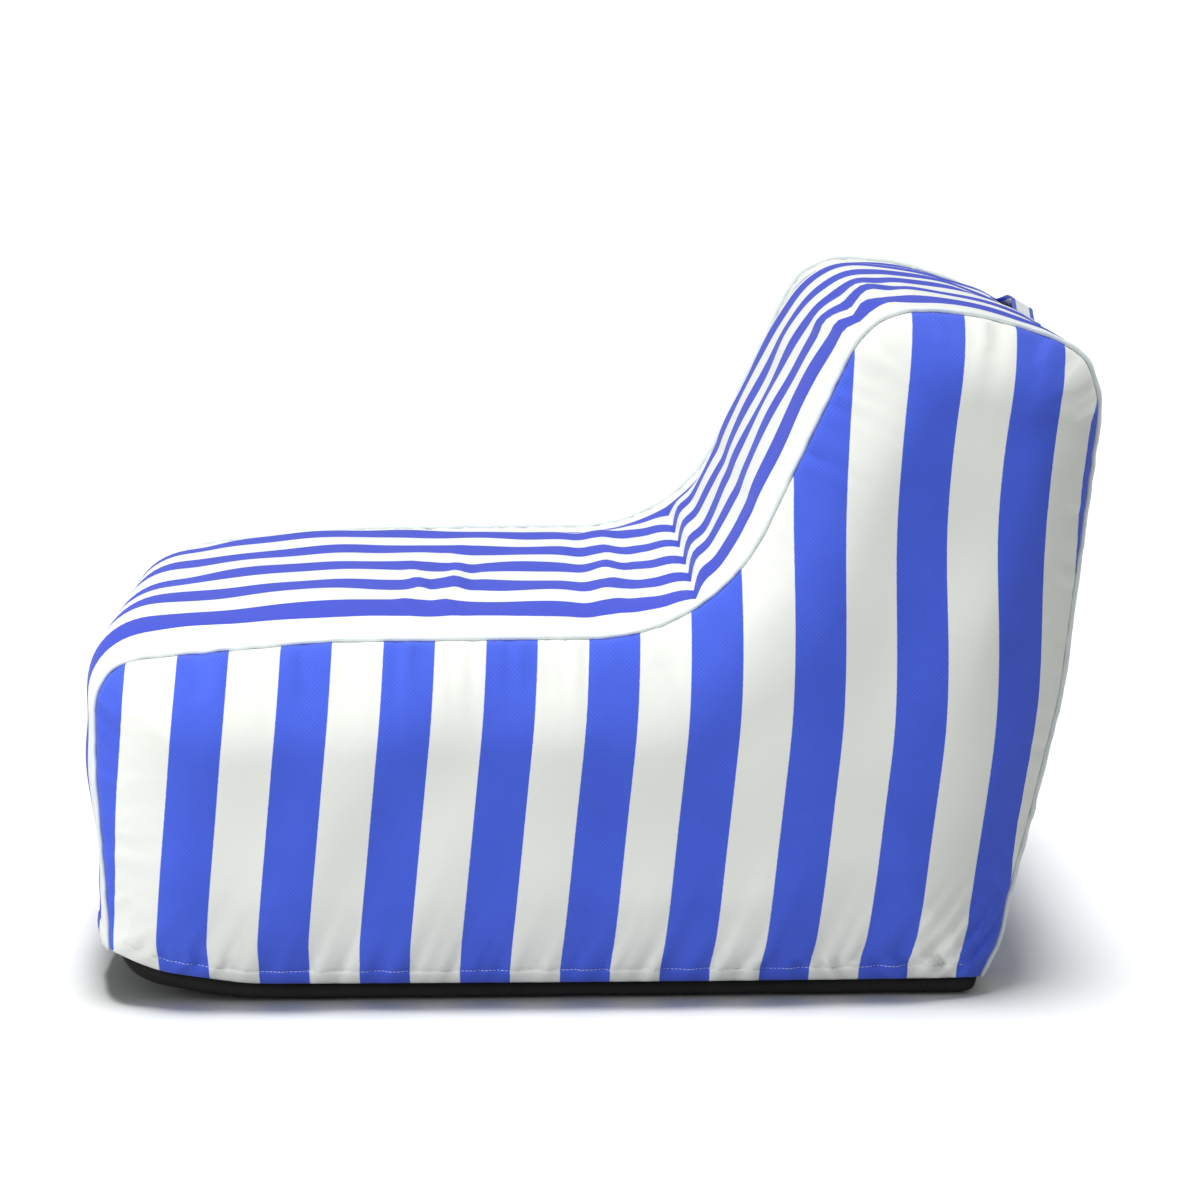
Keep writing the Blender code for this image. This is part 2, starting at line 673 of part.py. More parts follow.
def make_pull(place):
    """Pull: an eye round the bail and a tab that hangs straight down."""
    pivot = place @ Vector((0, 0, BAIL_HEIGHT))
    hang = Matrix.Translation(pivot) @ Matrix(
        ((0, 0, 1, 0), (1, 0, 0, 0), (0, 1, 0, 0), (0, 0, 0, 1)))
    pull = turned("zip_pull", [
        (0.00135, 0.0011), (0.0024, 0.0011), (0.0024, -0.0011), (0.00135, -0.0011)],
        ZIP_METAL, closed=True)
    pull.matrix_world = hang
    tab = add_cutter("pull_tab", box_mesh(
        "pull_tab", (-0.0006, -0.0240, -0.0034), (0.0006, -0.0019, 0.0034)))
    hole = add_cutter("pull_hole", rod_mesh("pull_hole", [(0, 0)], 0.0018, -0.003, 0.003, 12))
    tab.matrix_world = hang
    hole_place = Matrix.Translation(pivot + Vector((0, 0, -0.019)))
    hole.matrix_world = hole_place @ Matrix.Rotation(pi / 2, 4, "X")
    add_boolean(pull, tab, "UNION")
    add_boolean(pull, hole, "DIFFERENCE")


# ---------------------------------------------------------------------------
# Grab handle
# ---------------------------------------------------------------------------
def make_handle():
    """A sewn strap that arches over the top of the back, across the float."""
    frame = line_frame(HANDLE_FORE[:2], HANDLE_AFT[:2], HANDLE_PLACE)
    crown = HANDLE_FORE[3]
    half = HANDLE_SPAN / 2
    stations = [-half - HANDLE_SEWN, -half - HANDLE_SEWN / 2]
    stations += [half * step / 6 for step in range(-6, 7)]
    stations += [half + HANDLE_SEWN / 2, half + HANDLE_SEWN]
    rails = []
    for edge in (-HANDLE_WIDTH / 2, HANDLE_WIDTH / 2):
        rail = []
        for x in stations:
            arch = cos(pi * x / HANDLE_SPAN) ** 2 if abs(x) < half else 0
            rail.append((x, edge, crown + 0.0006 + HANDLE_ARCH * arch))
        rails.append(rail)
    strap = add_object("grab_handle", mesh_from("grab_handle", loft(rails)), HANDLE_WEBBING)
    strap.matrix_world = frame
    add_solidify(strap, HANDLE_THICKNESS, offset=1.0)


make_band()
make_side_panel("side_panel_left", 1)
make_side_panel("side_panel_right", -1)
make_piping("piping_left", 1)
make_piping("piping_right", -1)
make_base()
make_chamber("seat", -1, SEAT_AIR_HOLES)
make_chamber("back", 1, BACK_AIR_HOLES)
make_valve("seat")
make_valve("back")
make_zip()
make_handle()
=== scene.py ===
"""Looks of the inflatable lounge-chair pool float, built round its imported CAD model.

The fabric cover is made of fine curved sheets with puckers, folds, hems and
stitches of their own: one centre band, two side panels and a black base. The
welts, the grab strap and the zip are separate pieces. The air chambers, the
webs, the valves and the zip's slider stay as CAD and get materials.

Frame: metres, +X to the sitter's left, -Y to the front, +Z up.
"""

import json
from math import cos, pi, radians, sin

import bpy
import numpy as np
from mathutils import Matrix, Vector
from mathutils.geometry import delaunay_2d_cdt

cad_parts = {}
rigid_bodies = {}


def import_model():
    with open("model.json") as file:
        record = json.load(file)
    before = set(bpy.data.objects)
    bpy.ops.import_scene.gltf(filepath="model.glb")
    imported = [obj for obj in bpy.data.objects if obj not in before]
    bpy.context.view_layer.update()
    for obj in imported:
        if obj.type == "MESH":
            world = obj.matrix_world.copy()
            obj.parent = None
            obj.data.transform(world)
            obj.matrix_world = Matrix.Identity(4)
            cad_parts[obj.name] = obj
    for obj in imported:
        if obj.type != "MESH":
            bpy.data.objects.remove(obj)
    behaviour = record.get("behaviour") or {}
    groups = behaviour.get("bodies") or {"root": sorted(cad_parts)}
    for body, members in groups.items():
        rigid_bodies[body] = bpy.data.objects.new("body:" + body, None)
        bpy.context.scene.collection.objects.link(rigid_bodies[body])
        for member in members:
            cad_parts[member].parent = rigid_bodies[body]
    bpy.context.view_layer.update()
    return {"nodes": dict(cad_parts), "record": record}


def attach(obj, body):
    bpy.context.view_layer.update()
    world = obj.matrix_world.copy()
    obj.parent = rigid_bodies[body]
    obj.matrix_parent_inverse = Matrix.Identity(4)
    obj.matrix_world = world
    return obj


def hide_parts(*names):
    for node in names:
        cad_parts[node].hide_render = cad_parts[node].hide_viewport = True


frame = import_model()

# ---------------------------------------------------------------------------
# Outline of the cover, in metres, as the CAD has it
# ---------------------------------------------------------------------------
SEAM_X = 0.330                 # distance of each side seam from the middle
PANEL_BULGE = 0.0465           # how far a side panel swells past its seam
PIPING_RADIUS = 0.0028
PIPING_OUT = 0.0022            # distance of the piping's middle outwards from the seam
CROWN_POWER = 5.5              # higher for a crown that is flatter across the band
DOME_REACH = 0.60              # share of the way to the spine over which a side panel swells
DOME_POWER = 0.75

# Side seam from the front hem to the rear hem: y, z, radius, crown of the band.
SEAM = [
    (-0.4788, 0.0549, 0.000, 0.004),
    (-0.4805, 0.1120, 0.300, 0.021),
    (-0.4868, 0.2350, 0.200, 0.031),
    (-0.4845, 0.3505, 0.050, 0.026),
    (-0.2576, 0.3703, 0.500, 0.0235),
    (-0.0283, 0.3715, 0.000, 0.0200),
    (0.1289, 0.3723, 0.190, -0.007),
    (0.1917, 0.5070, 0.000, 0.022),
    (0.2417, 0.6143, 0.000, 0.019),
    (0.2806, 0.6977, 0.070, 0.010),
    (0.3844, 0.6924, 0.300, 0.005),
    (0.4607, 0.6672, 0.000, 0.005),
    (0.4902, 0.6495, 0.012, 0.005),
    (0.5052, 0.6080, 0.060, 0.012),
    (0.4869, 0.4350, 0.000, 0.031),
    (0.4745, 0.3120, 0.250, 0.028),
    (0.4483, 0.1900, 0.000, 0.023),
    (0.4262, 0.0960, 0.000, 0.000),
    (0.4207, 0.0580, 0.030, 0.000),
    (0.4017, 0.0180, 0.000, 0.000),
]
# Lower edge of a side panel, from the rear hem to the front hem.
HEM = [(0.4017, 0.0180, 0.0), (-0.3383, 0.0200, 0.2), (-0.4313, 0.0330, 0.15), (-0.4788, 0.0549, 0.0)]
SPINE = [(-0.3233, 0.190), (0.1377, 0.190), (0.2777, 0.300), (0.3777, 0.560)]

SEAT_CROWN = 0.0202            # height of the seat's and the back's faces over the seam
CREASE_RADIUS = 0.190          # radius of the seam where the seat meets the back
CREASE_TURN = 0.560            # half of its turn, in radians

GRID = 0.006                   # spacing of the fabric's mesh
CLOTH_THICKNESS = 0.0012
HEM_DEPTH = 0.0175             # from the folded edge to the stitch line
STRIPE = 0.0508                # width of one printed stripe
BAND_STRIPE_START = 0.0252     # x where one blue stripe of the band starts
SIDE_STRIPE_START = -0.5099    # the same on a side panel, along its stripe coordinate


# ---------------------------------------------------------------------------
# Lines and noise
# ---------------------------------------------------------------------------
def smooth_step(share):
    """0 to 1 with level ends, clamped."""
    share = np.clip(share, 0, 1)
    return share * share * (3 - 2 * share)


def bump(distance, width):
    """A smooth hill, 1 at distance 0 and almost 0 at two widths."""
    return np.exp(-(distance / width) ** 2)


def rounded_line(corners, spacing=0.002):
    """Dense points and crowns along a line of rounded corners."""
    arcs = []
    last = len(corners) - 1
    for index, corner_data in enumerate(corners):
        corner, radius = np.array(corner_data[:2]), corner_data[2]
        if radius == 0 or index in (0, last):
            arcs.append(np.array([corner]))
            continue
        back = np.array(corners[index - 1][:2]) - corner
        ahead = np.array(corners[index + 1][:2]) - corner
        back /= np.linalg.norm(back)
        ahead /= np.linalg.norm(ahead)
        turn = pi - np.arccos(np.clip(back @ ahead, -1, 1))
        start = corner + back * radius * np.tan(turn / 2)
        middle = (back + ahead) / np.linalg.norm(back + ahead)
        centre = corner + middle * radius / cos(turn / 2)
        spoke = start - centre
        to_corner = corner - centre
        way = 1 if spoke[0] * to_corner[1] - spoke[1] * to_corner[0] > 0 else -1
        angles = np.linspace(0, way * turn, 2 * max(2, int(radius * turn / spacing / 2)) + 1)
        arcs.append(centre + np.stack([spoke[0] * np.cos(angles) - spoke[1] * np.sin(angles),
                                       spoke[0] * np.sin(angles) + spoke[1] * np.cos(angles)], 1))
    points, marks = [], []
    for index, arc in enumerate(arcs):
        marks.append(len(points) + len(arc) // 2)
        points += list(arc)
        if index < last:
            start, end = arc[-1], arcs[index + 1][0]
            pieces = max(1, int(np.linalg.norm(end - start) / spacing))
            points += [start + (end - start) * piece / pieces for piece in range(1, pieces)]
    points = np.array(points)
    length = np.concatenate([[0], np.cumsum(np.linalg.norm(np.diff(points, axis=0), axis=1))])
    crowns = np.zeros(len(points))
    if len(corners[0]) > 3:
        for number, (first, final) in enumerate(zip(marks, marks[1:])):
            low, high = corners[number][3], corners[number + 1][3]
            run = slice(first, final + 1)
            share = (length[run] - length[first]) / (length[final] - length[first])
            crowns[run] = low + (high - low) * smooth_step(share)
    return points, crowns, length


def blurred(values, samples):
    """Values smoothed along their first axis, with both ends held."""
    reach = int(3 * samples)
    kernel = np.exp(-0.5 * (np.arange(-reach, reach + 1) / samples) ** 2)
    kernel /= kernel.sum()
    table = values.reshape(len(values), -1)
    before = 2 * table[0] - table[reach:0:-1]
    after = 2 * table[-1] - table[-2:-reach - 2:-1]
    padded = np.concatenate([before, table, after])
    columns = [np.convolve(column, kernel, "valid") for column in padded.T]
    return np.stack(columns, 1).reshape(values.shape)


def even_line(corners, spacing, blur=0.008):
    """Points, crowns, outward normals and lengths, evenly spaced and smoothed."""
    points, crowns, length = rounded_line(corners)
    count = int(round(length[-1] / spacing)) + 1
    stops = np.linspace(0, length[-1], count)
    points = np.stack([np.interp(stops, length, points[:, axis]) for axis in (0, 1)], 1)
    crowns = np.interp(stops, length, crowns)
    points = blurred(points, blur / spacing)
    crowns = blurred(crowns, blur / spacing)
    along = np.gradient(points, axis=0)
    along /= np.linalg.norm(along, axis=1, keepdims=True)
    normals = np.stack([-along[:, 1], along[:, 0]], 1)
    return points, crowns, normals, stops


def waves(seed, short, long, *places):
    """Smooth noise of about -1 to 1 whose ripples are short to long metres apart."""
    random = np.random.default_rng(seed)
    count = 14
    total = 0
    for _ in range(count):
        pitch = short * (long / short) ** random.random()
        heading = random.normal(size=len(places))
        heading /= np.linalg.norm(heading)
        phase = random.random() * 2 * pi
        turn = sum(share * place for share, place in zip(heading, places))
        total = total + np.sin(2 * pi * turn / pitch + phase)
    return total / (0.5 * count) ** 0.5 / 1.6


def spine_points(points):
    """Nearest point of the spine to each point."""
    best = np.zeros_like(points)
    nearest = np.full(len(points), 9.0)
    for start, end in zip(SPINE, SPINE[1:]):
        start, end = np.array(start), np.array(end)
        share = np.clip((points - start) @ (end - start) / ((end - start) @ (end - start)), 0, 1)
        near = start + share[:, None] * (end - start)
        gap = np.linalg.norm(near - points, axis=1)
        closer = gap < nearest
        best[closer], nearest[closer] = near[closer], gap[closer]
    return best


# ---------------------------------------------------------------------------
# Meshes
# ---------------------------------------------------------------------------
def link_mesh(name, points, faces, uvs=None):
    """A smooth mesh object from points, faces and a UV per point."""
    mesh = bpy.data.meshes.new(name)
    mesh.from_pydata([tuple(point) for point in points], [], faces)
    if uvs is not None:
        layer = mesh.uv_layers.new(name="cloth")
        indices = np.zeros(len(mesh.loops), np.int32)
        mesh.loops.foreach_get("vertex_index", indices)
        layer.data.foreach_set("uv", np.asarray(uvs, np.float32)[indices].ravel())
    mesh.shade_smooth()
    made = bpy.data.objects.new(name, mesh)
    bpy.context.scene.collection.objects.link(made)
    return made


def grid_faces(rows, columns, closed=False, skip=None):
    """Quads of a rows x columns grid; closed joins the last column to the first."""
    faces = []
    for row in range(rows - 1):
        for column in range(columns if closed else columns - 1):
            if skip is not None and skip(row, column):
                continue
            beyond = (column + 1) % columns
            faces.append((row * columns + column, row * columns + beyond,
                          (row + 1) * columns + beyond, (row + 1) * columns + column))
    return faces


def tube_faces(rows, sides):
    """Faces of a tube of rows x sides points, with a cap at each end."""
    last = (rows - 1) * sides
    caps = [tuple(reversed(range(sides))), tuple(range(last, last + sides))]
    return grid_faces(rows, sides, closed=True) + caps


def flipped(faces):
    """The same faces, turned over."""
    return [tuple(reversed(face)) for face in faces]


def apply_modifiers(piece):
    """Bake a piece's modifiers into its mesh."""
    shown = piece.evaluated_get(bpy.context.evaluated_depsgraph_get())
    mesh = bpy.data.meshes.new_from_object(shown)
    piece.modifiers.clear()
    piece.data = mesh
    return piece


def thicken(piece, thickness):
    """Give a sheet its thickness, inwards."""
    modifier = piece.modifiers.new("thickness", "SOLIDIFY")
    modifier.thickness = thickness
    modifier.offset = -1
    modifier.use_even_offset = False
    return apply_modifiers(piece)


def swept_tube(name, centres, radii, sides=10):
    """A tube with closed ends along a line of points, with a radius at each."""
    centres = np.asarray(centres, float)
    along = np.gradient(centres, axis=0)
    along /= np.linalg.norm(along, axis=1, keepdims=True)
    reference = np.array([1.0, 0, 0]) if abs(along[0][0]) < 0.8 else np.array([0, 0, 1.0])
    first = np.cross(along, reference)
    first /= np.linalg.norm(first, axis=1, keepdims=True)
    second = np.cross(along, first)
    angles = np.arange(sides) * 2 * pi / sides
    ring = (np.cos(angles)[None, :, None] * first[:, None]
            + np.sin(angles)[None, :, None] * second[:, None])
    points = centres[:, None] + ring * np.asarray(radii)[:, None, None]
    return link_mesh(name, points.reshape(-1, 3), flipped(tube_faces(len(centres), sides)))


def many(name, template_points, template_faces, places):
    """One mesh of many copies of a small template, each placed by a 4x4 matrix."""
    template = np.c_[np.asarray(template_points, float), np.ones(len(template_points))]
    points, faces = [], []
    for number, place in enumerate(places):
        points.append((template @ np.array(place).T)[:, :3])
        offset = number * len(template)
        faces += [tuple(offset + index for index in face) for face in template_faces]
    return link_mesh(name, np.concatenate(points), faces)


def capsule(length, width, height, segments=6):
    """Points and faces of one stitch: a short rounded bar along X that sits on Z = 0."""
    stops = [(-0.5, 0.35), (-0.42, 0.8), (-0.2, 1.0), (0.2, 1.0), (0.42, 0.8), (0.5, 0.35)]
    points = []
    for share, size in stops:
        for index in range(segments):
            angle = 2 * pi * index / segments
            points.append((share * length, cos(angle) * size * width / 2, sin(angle) * size * height))
    return points, flipped(tube_faces(len(stops), segments))


def stitch_places(line, outward, pitch):
    """Frames every pitch along a 3-D line: X along it, Z outwards."""
    line, outward = np.asarray(line, float), np.asarray(outward, float)
    length = np.concatenate([[0], np.cumsum(np.linalg.norm(np.diff(line, axis=0), axis=1))])

    def at(stop, table):
        return np.array([np.interp(stop, length, column) for column in table.T])

    places = []
    for stop in np.arange(pitch / 2, length[-1], pitch):
        along = at(stop + pitch / 2, line) - at(stop - pitch / 2, line)
        along /= np.linalg.norm(along)
        side = np.cross(at(stop, outward), along)
        side /= np.linalg.norm(side)
        matrix = np.eye(4)
        matrix[:3, :] = np.stack([along, side, np.cross(along, side), at(stop, line)], 1)
        places.append(matrix)
    return places


# ---------------------------------------------------------------------------
# Materials
# ---------------------------------------------------------------------------
class Nodes:
    """A short way to write one material's nodes."""

    def __init__(self, name):
        self.material = bpy.data.materials.new(name)
        self.material.use_nodes = True
        self.tree = self.material.node_tree
        self.shader = self.tree.nodes["Principled BSDF"]

    def link(self, value, socket):
        """Join a socket to another, or set it to a constant."""
        if isinstance(value, bpy.types.NodeSocket):
            self.tree.links.new(value, socket)
        else:
            socket.default_value = value

    def math(self, operation, first, second=0.0):
        node = self.tree.nodes.new("ShaderNodeMath")
        node.operation = operation
        self.link(first, node.inputs[0])
        self.link(second, node.inputs[1])
        return node.outputs[0]

    def mix(self, factor, first, second):
        node = self.tree.nodes.new("ShaderNodeMix")
        node.data_type = "RGBA"
        self.link(factor, node.inputs["Factor"])
        for value, socket in ((first, node.inputs["A"]), (second, node.inputs["B"])):
            self.link(value if isinstance(value, bpy.types.NodeSocket) else (*value, 1.0), socket)
        return node.outputs["Result"]

    def ramp(self, value, low, high, start=0.0, end=1.0):
        """A smooth change from start to end as the value goes from low to high."""
        node = self.tree.nodes.new("ShaderNodeMapRange")
        node.interpolation_type = "SMOOTHSTEP"
        for slot, number in (("From Min", low), ("From Max", high), ("To Min", start), ("To Max", end)):
            node.inputs[slot].default_value = number
        self.link(value, node.inputs["Value"])
        return node.outputs["Result"]

    def uv(self):
        """The fabric's coordinates in metres: the vector, across and along."""
        node = self.tree.nodes.new("ShaderNodeUVMap")
        node.uv_map = "cloth"
        split = self.tree.nodes.new("ShaderNodeSeparateXYZ")
        self.tree.links.new(node.outputs[0], split.inputs[0])
        return node.outputs[0], split.outputs[0], split.outputs[1]

    def place(self):
        """The object's coordinates in metres: the vector, x, y and z."""
        node = self.tree.nodes.new("ShaderNodeTexCoord")
        split = self.tree.nodes.new("ShaderNodeSeparateXYZ")
        self.tree.links.new(node.outputs["Object"], split.inputs[0])
        return node.outputs["Object"], split.outputs[0], split.outputs[1], split.outputs[2]

    def noise(self, vector, scale, detail=2.0):
        node = self.tree.nodes.new("ShaderNodeTexNoise")
        node.inputs["Scale"].default_value = scale
        node.inputs["Detail"].default_value = detail
        self.tree.links.new(vector, node.inputs["Vector"])
        return node.outputs[0]

    def bump(self, height, distance, strength):
        node = self.tree.nodes.new("ShaderNodeBump")
        node.inputs["Distance"].default_value = distance
        node.inputs["Strength"].default_value = strength
        self.link(height, node.inputs["Height"])
        return node.outputs[0]

    def finish(self, colour, roughness, normal=None, **sockets):
        """Join the looks to the shader; the other sockets are named as keywords."""
        self.link(colour if isinstance(colour, bpy.types.NodeSocket) else (*colour, 1.0),
                  self.shader.inputs["Base Color"])
        self.link(roughness, self.shader.inputs["Roughness"])
        if normal is not None:
            self.tree.links.new(normal, self.shader.inputs["Normal"])
        for name, value in sockets.items():
            socket = name.replace("_", " ").title().replace("Ior", "IOR")
            self.shader.inputs[socket].default_value = value
        return self.material


def weave_height(nodes, across, along, pitch):
    """Height of a weave's dots, from two fabric coordinates."""
    step = 2 * pi / pitch
    first = nodes.math("SINE", nodes.math("MULTIPLY", across, step))
    second = nodes.math("SINE", nodes.math("MULTIPLY", along, step))
    return nodes.math("MULTIPLY", first, second)


BLUE = (0.050, 0.112, 0.735)           # the side panels' blue
BLUE_DEEP = (0.043, 0.098, 0.670)
BAND_BLUE_PAINTED_SHADE = (0.026, 0.056, 0.560)      # the band's: painted shade, the side panels' blue made darker because the overhead light brightens the top
BAND_BLUE_PAINTED_SHADE_DEEP = (0.023, 0.050, 0.520)
WHITE = (0.830, 0.850, 0.800)
PRINT_BLEED = 0.0005                   # half the width of a stripe's soft edge
DOT_PITCH = 0.0046                     # of the weave's dots, as the photograph shows them
THREAD_PITCH = 0.0017


def scaled(colour, share):
    """A lighter or darker colour."""
    return tuple(min(1, share * part) for part in colour)


def striped_fabric(name, start, blue, blue_deep, white):
    """Woven cloth with blue and white printed stripes across its first UV axis."""
    nodes = Nodes(name)
    vector, across, along = nodes.uv()
    wander = nodes.math("SUBTRACT", nodes.noise(vector, 260.0, 3.0), 0.5)
    wander = nodes.math("MULTIPLY", wander, 0.0007)
    from_start = nodes.math("SUBTRACT", nodes.math("ADD", across, wander), start)
    phase = nodes.math("FRACT", nodes.math("DIVIDE", from_start, 2 * STRIPE))
    distance = nodes.math("ABSOLUTE", nodes.math("SUBTRACT", phase, 0.25))
    distance = nodes.math("MINIMUM", distance, nodes.math("SUBTRACT", 1.0, distance))
    soft = PRINT_BLEED / (2 * STRIPE)
    stripe = nodes.ramp(distance, 0.25 - soft, 0.25 + soft, 1.0, 0.0)
    weave = weave_height(nodes, across, along, DOT_PITCH)
    cloudy = nodes.noise(vector, 14.0, 4.0)
    fleck = nodes.noise(vector, 900.0, 1.0)
    tone = nodes.mix(nodes.ramp(cloudy, 0.35, 0.65), blue, blue_deep)
    dotted = nodes.mix(nodes.ramp(weave, -0.2, 0.7), tone, scaled(blue_deep, 0.90))
    dotted = nodes.mix(nodes.ramp(fleck, 0.40, 0.75, 0.0, 0.35), dotted, scaled(blue, 1.5))
    pale = nodes.mix(nodes.ramp(weave, -0.2, 0.8, 0.0, 0.5), white, scaled(white, 0.95))
    pale = nodes.mix(nodes.ramp(cloudy, 0.3, 0.7, 0.0, 0.5), pale, scaled(white, 0.975))
    colour = nodes.mix(stripe, pale, dotted)
    threads = weave_height(nodes, across, along, THREAD_PITCH)
    height = nodes.math("ADD", nodes.math("MULTIPLY", threads, 0.5), nodes.math("MULTIPLY", fleck, 0.6))
    normal = nodes.bump(height, 0.00025, 0.45)
    rough = nodes.ramp(fleck, 0.3, 0.7, 0.72, 0.88)
    return nodes.finish(colour, rough, normal, sheen_weight=0.12, sheen_roughness=0.5)


def plain_fabric(name, colour, dark, pitch, rough=0.8):
    """Plain woven cloth, coloured in two close tones, from object coordinates."""
    nodes = Nodes(name)
    vector, x, y, z = nodes.place()
    cloudy = nodes.noise(vector, 30.0, 3.0)
    fleck = nodes.noise(vector, 1400.0, 2.0)
    step = 2 * pi / pitch
    first = nodes.math("SINE", nodes.math("MULTIPLY", x, step))
    second = nodes.math("SINE", nodes.math("MULTIPLY", nodes.math("ADD", y, z), step))
    weave = nodes.math("MULTIPLY", first, second)
    tone = nodes.mix(nodes.ramp(cloudy, 0.3, 0.7), colour, dark)
    tone = nodes.mix(nodes.ramp(weave, -0.3, 0.9, 0.0, 0.5), tone, dark)
    height = nodes.math("ADD", nodes.math("MULTIPLY", weave, 0.5), fleck)
    normal = nodes.bump(height, 0.0002, 0.5)
    return nodes.finish(tone, nodes.ramp(fleck, 0.3, 0.7, rough - 0.08, rough + 0.08), normal)


def moulded(name, colour, rough, grain=600.0, **sockets):
    """Moulded plastic, film or metal with fine grain and faint clouding."""
    nodes = Nodes(name)
    vector = nodes.place()[0]
    cloudy = nodes.noise(vector, 25.0, 4.0)
    fine = nodes.noise(vector, grain, 2.0)
    tone = nodes.mix(nodes.ramp(cloudy, 0.3, 0.7), colour, scaled(colour, 0.82))
    normal = nodes.bump(fine, 0.00008, 0.35)
    roughness = nodes.ramp(fine, 0.3, 0.7, rough - 0.08, rough + 0.08)
    return nodes.finish(tone, roughness, normal, **sockets)


def assign(piece, material):
    """Give a piece one material in its only slot."""
    if len(piece.data.materials):
        for index in range(len(piece.data.materials)):
            piece.data.materials[index] = material
    else:
        piece.data.materials.append(material)
    return piece


def dress(piece, material, node=None):
    """Give a piece its material and body, and hide the CAD node it stands for."""
    assign(piece, material)
    if node is not None:
        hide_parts(node)
    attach(piece, "cover")


SIDE_CLOTH = striped_fabric("side_cloth", SIDE_STRIPE_START, BLUE, BLUE_DEEP, WHITE)
# The band's cloth is a shaded copy of the side panels' cloth: both its blues are painted darker as shade
# against the overhead light.
BAND_CLOTH_PAINTED_SHADE = striped_fabric("band_cloth_painted_shade", BAND_STRIPE_START, BAND_BLUE_PAINTED_SHADE, BAND_BLUE_PAINTED_SHADE_DEEP, WHITE)
WELT_CLOTH = plain_fabric("welt_cloth", (0.82, 0.87, 0.87), (0.74, 0.81, 0.82), 0.0011)
BASE_CLOTH = plain_fabric("base_cloth", (0.006, 0.006, 0.006), (0.003, 0.003, 0.003), 0.0024, 0.9)
THREAD = plain_fabric("thread", (0.78, 0.80, 0.84), (0.66, 0.69, 0.76), 0.0009, 0.75)

# ---------------------------------------------------------------------------
# Centre band
# ---------------------------------------------------------------------------
seam, crown, seam_normal, seam_length = even_line(SEAM, GRID)
seam_total = seam_length[-1]


def seam_stop(y, z):
    """Length along the seam of the point nearest to (y, z)."""
    return seam_length[np.argmin(np.linalg.norm(seam - np.array([y, z]), axis=1))]


# Lengths along the seam of the places that the folds and crowns are set from.
S_CREASE = seam_stop(0.1107, 0.4013)
S_TOP_FRONT = seam_stop(0.288, 0.685)
S_FULL, S_FALL = seam_stop(-0.305, 0.370), seam_stop(-0.440, 0.358)
S_REAR_TOP = seam_stop(0.500, 0.640)
S_FRONT_TOP = seam_stop(-0.486, 0.240)
S_SEAT_RIDGES = [seam_stop(y, 0.372) for y in (-0.178, -0.135, 0.033)]
S_ZIP = seam_stop(0.4237, 0.0787)


def crown_share(s, station):
    """Share of the crown across the band: rounder at both ends, slacker towards the right seam."""
    ends = smooth_step((S_FALL - s) / 0.12) + smooth_step((s - S_REAR_TOP) / 0.12)
    power = CROWN_POWER - 1.5 * ends
    full = 1 - np.abs(station) ** power
    slack = 1 - smooth_step((np.abs(station) - 0.49) / 0.42)
    slack = slack + (full - slack) * np.clip(ends, 0, 1)
    return np.where(station < 0, slack, full)


def crease_height(s):
    """Crown where the seat meets the back: two flat faces that meet in a crease."""
    turn = np.abs(s - S_CREASE) / CREASE_RADIUS
    faces = CREASE_RADIUS - (CREASE_RADIUS - SEAT_CROWN) / np.cos(np.maximum(CREASE_TURN - turn, 0))
    # A low roll on the seat's side of the crease and a fuller one on the back's.
    past = s - S_CREASE
    rolls = 0.0050 * bump(past + 0.012, 0.016) + 0.0085 * bump(past - 0.017, 0.015)
    return faces + rolls - 0.0015 * bump(past, 0.004)


def band_ripples(s, u):
    """Height of the band's puckers and folds at length s and station u."""
    x = u * SEAM_X
    edge = (1 - np.abs(u)) * SEAM_X
    side = np.where(u > 0, 0.0, 7.0)
    rise = 0.0013 * waves(11, 0.012, 0.045, s + side) * np.exp(-edge / 0.016)
    rise = rise + 0.0013 * waves(12, 0.09, 0.26, s, x) * smooth_step(edge / 0.05)
    # The seat is full behind its front edge and falls off over it.
    lean = (0.75 - 0.65 * u) * crown_share(s, u)
    rise = rise + lean * (0.0030 * bump(s - S_FULL, 0.085) - 0.0050 * bump(s - S_FALL, 0.040))
    # Ridges across the seat, and small bumps at the top of the back.
    for seed, stop, place, reach, spread, height in (
            (21, S_SEAT_RIDGES[0], 0.15, 0.008, 0.10, 0.0026),
            (22, S_SEAT_RIDGES[0] + 0.020, 0.17, 0.007, 0.07, -0.0016),
            (23, S_SEAT_RIDGES[1], 0.12, 0.008, 0.14, 0.0026),
            (24, S_SEAT_RIDGES[1] + 0.019, 0.10, 0.008, 0.10, -0.0015),
            (25, S_SEAT_RIDGES[2], 0.02, 0.010, 0.24, 0.0026),
            (26, S_SEAT_RIDGES[2] + 0.024, 0.02, 0.010, 0.24, -0.0014),
            (27, S_TOP_FRONT - 0.030, 0.20, 0.010, 0.11, 0.0042),
            (28, S_TOP_FRONT - 0.010, 0.20, 0.009, 0.12, -0.0046),
            (29, S_TOP_FRONT + 0.012, 0.18, 0.010, 0.14, 0.0040),
            (30, S_TOP_FRONT + 0.036, 0.10, 0.012, 0.16, -0.0022)):
        wander = 0.006 * waves(seed, 0.1, 0.3, x)
        rise = rise + height * bump(s - stop - wander, reach) * bump(x - place, spread)
    return rise


def band_hems(s, u):
    """Extra height of the two folded hems, and their flare."""
    x = u * SEAM_X
    rise = 0
    for distance in (s, seam_total - s):
        rise = rise + 0.0007 * (1 - smooth_step((distance - HEM_DEPTH + 0.0012) / 0.0012))
        rise = rise - 0.0006 * bump(distance - HEM_DEPTH, 0.0016)
    inner = 1 - np.abs(u) ** 8
    flare = 0.0110 * bump(s, 0.055) + 0.0090 * bump(s, 0.022)
    flare = flare * (1 + 0.30 * waves(31, 0.07, 0.20, x)) * inner
    flare = flare + 0.0040 * bump(seam_total - s, 0.030) * inner
    puckers = 0.0012 * waves(32, 0.014, 0.040, x) * bump(s - 0.030, 0.030)
    return rise + flare + puckers


